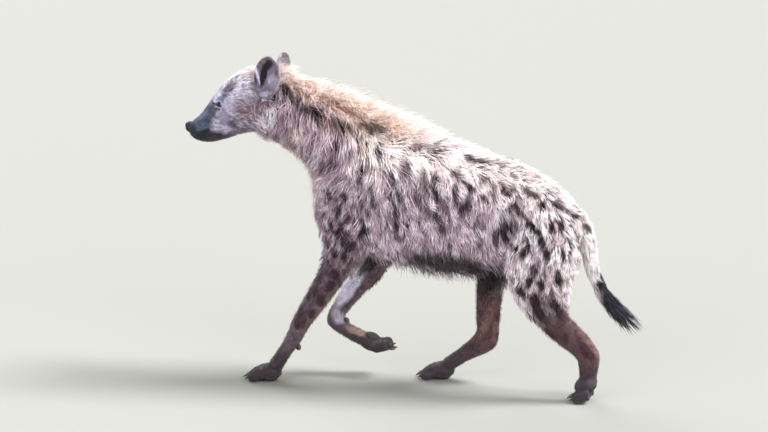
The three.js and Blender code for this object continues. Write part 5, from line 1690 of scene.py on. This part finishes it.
class HYENA_OT_nose(bpy.types.Operator):
    """Build the nose pad with its nostrils"""
    bl_idname = "hyena.nose"
    bl_label = "Nose"

    def execute(self, context):
        blunt = lambda points: np.sign(points) * np.abs(points) ** 0.78
        points, faces = ball_skin(NOSE_PAD, PAD_HALF, 64, 48, blunt)
        # a groove down the middle and a slope from the bridge to the lip
        groove = np.exp(-(points[:, 1] / 1.6) ** 2) * ramp(-points[:, 0], 690, 704)
        points[:, 0] += groove * 1.8 + 0.15 * (NOSE_PAD[2] - points[:, 2])
        pad = mesh_object("nose_pad", [(points, faces)])
        for side in (1, -1):
            for place, radii in NOSTRIL:
                hole = mesh_object("nostril", [ball_skin(np.array(place) * (1, side, 1), radii, 24, 16)])
                pad = merged(pad, hole, "DIFFERENCE")
        mesh = fused(pad, NOSE_CELL).data
        write_points(mesh, eased(read(mesh.vertices, "co", 3), read(mesh.edges, "vertices", 2, int), 1.0, 3))
        dress(pad, "moist_nose_leather", "nose_skin", "nose")
        return {"FINISHED"}


def foot_pads(foot, place, turned):
    """The bare pads of a foot: one under each toe, the lobed one behind them, and the wrist's."""
    pads = []
    for offset in TOE_OFFSETS:
        sole = (51 - shorter_by(offset) * 0.82, offset * 1.165, 6.4)
        pads.append(carried(ball_skin(sole, (11.5, 8.6, 6.6), 24, 16), place))
    lobed = lambda points: narrowed(points, 1 - 0.12 * np.abs(points[:, 1]) ** 3)
    pads.append(carried(ball_skin((-1, 0, 9.6), (24, 27, 10), 40, 24, lobed), turned))
    if foot.startswith("fore"):
        front, behind, _, _ = FORMS[foot].ring(np.array([WRIST_PAD]))
        away = unit(behind[0] - front[0])
        pads.append(ball_skin(behind[0] - away * 0.5, (8.0, 7.4, 10.0), 24, 16))
    return pads


class HYENA_OT_feet(bpy.types.Operator):
    """Set the claws and the bare pads of the four feet"""
    bl_idname = "hyena.feet"
    bl_label = "Claws and pads"

    def execute(self, context):
        for foot in FEET:
            place, turned = foot_place(foot)
            claws = [carried(digit(CLAWS, (1.5, 0.8), offset).loft(16, 14), place)
                     for offset in TOE_OFFSETS]
            for word, skins, finish in (("claws", claws, "claw_horn"),
                                        ("pads", foot_pads(foot, place, turned), "dry_pad_leather")):
                obj = mesh_object(f"{word}_{foot}", skins)
                points = read(obj.data.vertices, "co", 3)
                points[:, 2] = np.maximum(points[:, 2], SKIN_CLEAR * MM)
                write_points(obj.data, points)
                if word == "claws":
                    worn = ramp(moved_back(unplaced(points), place)[:, 0], 60, 78)
                    paint(obj, toward(plain(linear(CLAW), len(points)), linear(CLAW_TIP), worn))
                dress(obj, finish, "foot_coat")
        return {"FINISHED"}


# Soft lights of the studio: name, the side that each comes from, watts a square metre and softness in
# degrees. They are far off and broad, so that the floor is evenly lit.
LIGHTS = [("light_over_rump", (2.2, 0.7, 3.1), 6.2, 24), ("light_by_camera", (-1.6, -4.4, 1.7), 1.8, 50),
          ("light_by_tail", (3.2, -2.9, 1.1), 2.5, 40), ("light_behind", (-2.5, 2.6, 2.1), 2.0, 40)]
SKY, SKY_STRENGTH = "#E9EAE6", 0.76
CAMERA_AWAY, SENSOR = 12.0, 36.0
FLOOR_REACH = 300


class HYENA_OT_stage(bpy.types.Operator):
    """Lay the floor, hang the lights and set the camera"""
    bl_idname = "hyena.stage"
    bl_label = "Stage"

    def execute(self, context):
        mesh = bpy.data.meshes.new("floor")
        mesh.from_pydata([(x * FLOOR_REACH, y * FLOOR_REACH, 0)
                          for x, y in ((-1, -1), (1, -1), (1, 1), (-1, 1))], [], [(0, 1, 2, 3)])
        mesh.materials.append(material_of("matt_paper"))
        linked("floor", mesh)
        world = bpy.data.worlds.new("studio")
        world.use_nodes = True
        sky = world.node_tree.nodes["Background"]
        sky.inputs["Color"].default_value = (*linear(SKY), 1)
        sky.inputs["Strength"].default_value = SKY_STRENGTH
        context.scene.world = world
        context.scene.view_settings.view_transform = "Standard"
        lens = bpy.data.cameras.new("camera")
        lens.lens = SENSOR * CAMERA_AWAY * PIXELS_PER_MM / MM / FRAME_WIDTH
        camera = linked("camera", lens)
        back = Vector(to_camera())
        camera.location = Vector(placed(from_photo(FRAME_WIDTH / 2, FRAME_HEIGHT / 2))) + back * CAMERA_AWAY
        camera.rotation_euler = back.to_track_quat("Z", "Y").to_euler()
        context.scene.camera = camera
        for name, place, power, softness in LIGHTS:
            light = bpy.data.lights.new(name, "SUN")
            light.energy, light.angle = power, math.radians(softness)
            lamp = linked(name, light)
            lamp.location = place
            lamp.rotation_euler = Vector(place).to_track_quat("Z", "Y").to_euler()
        return {"FINISHED"}


# In the order that they run
OPERATORS = (HYENA_OT_skin, HYENA_OT_eyes, HYENA_OT_nose, HYENA_OT_feet, HYENA_OT_markings,
             HYENA_OT_mane, HYENA_OT_flanks, HYENA_OT_haunches, HYENA_OT_belly, HYENA_OT_legs,
             HYENA_OT_face, HYENA_OT_tail, HYENA_OT_whiskers, HYENA_OT_stage)


class HYENA_PT_panel(bpy.types.Panel):
    """The hyena's pieces, sizes and colours"""
    bl_idname = "HYENA_PT_panel"
    bl_label = "Spotted Hyena"
    bl_space_type = "VIEW_3D"
    bl_region_type = "UI"
    bl_category = "Hyena"

    def draw(self, context):
        column = self.layout.column(align=True)
        for operator in OPERATORS:
            column.operator(operator.bl_idname)
        for settings in (context.scene.hyena_sizes, context.scene.hyena_colours):
            column = self.layout.column(align=True)
            for name in type(settings).__annotations__:
                column.prop(settings, name)


CLASSES = (HyenaSizes, HyenaColours) + OPERATORS + (HYENA_PT_panel,)


def register():
    for cls in CLASSES:
        bpy.utils.register_class(cls)
    bpy.types.Scene.hyena_sizes = bpy.props.PointerProperty(type=HyenaSizes)
    bpy.types.Scene.hyena_colours = bpy.props.PointerProperty(type=HyenaColours)


def unregister():
    del bpy.types.Scene.hyena_colours
    del bpy.types.Scene.hyena_sizes
    for cls in reversed(CLASSES):
        bpy.utils.unregister_class(cls)


def main():
    register()
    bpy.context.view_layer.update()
    for operator in OPERATORS:
        getattr(bpy.ops.hyena, operator.bl_idname.split(".")[1])()


if __name__ == "__main__":
    main()
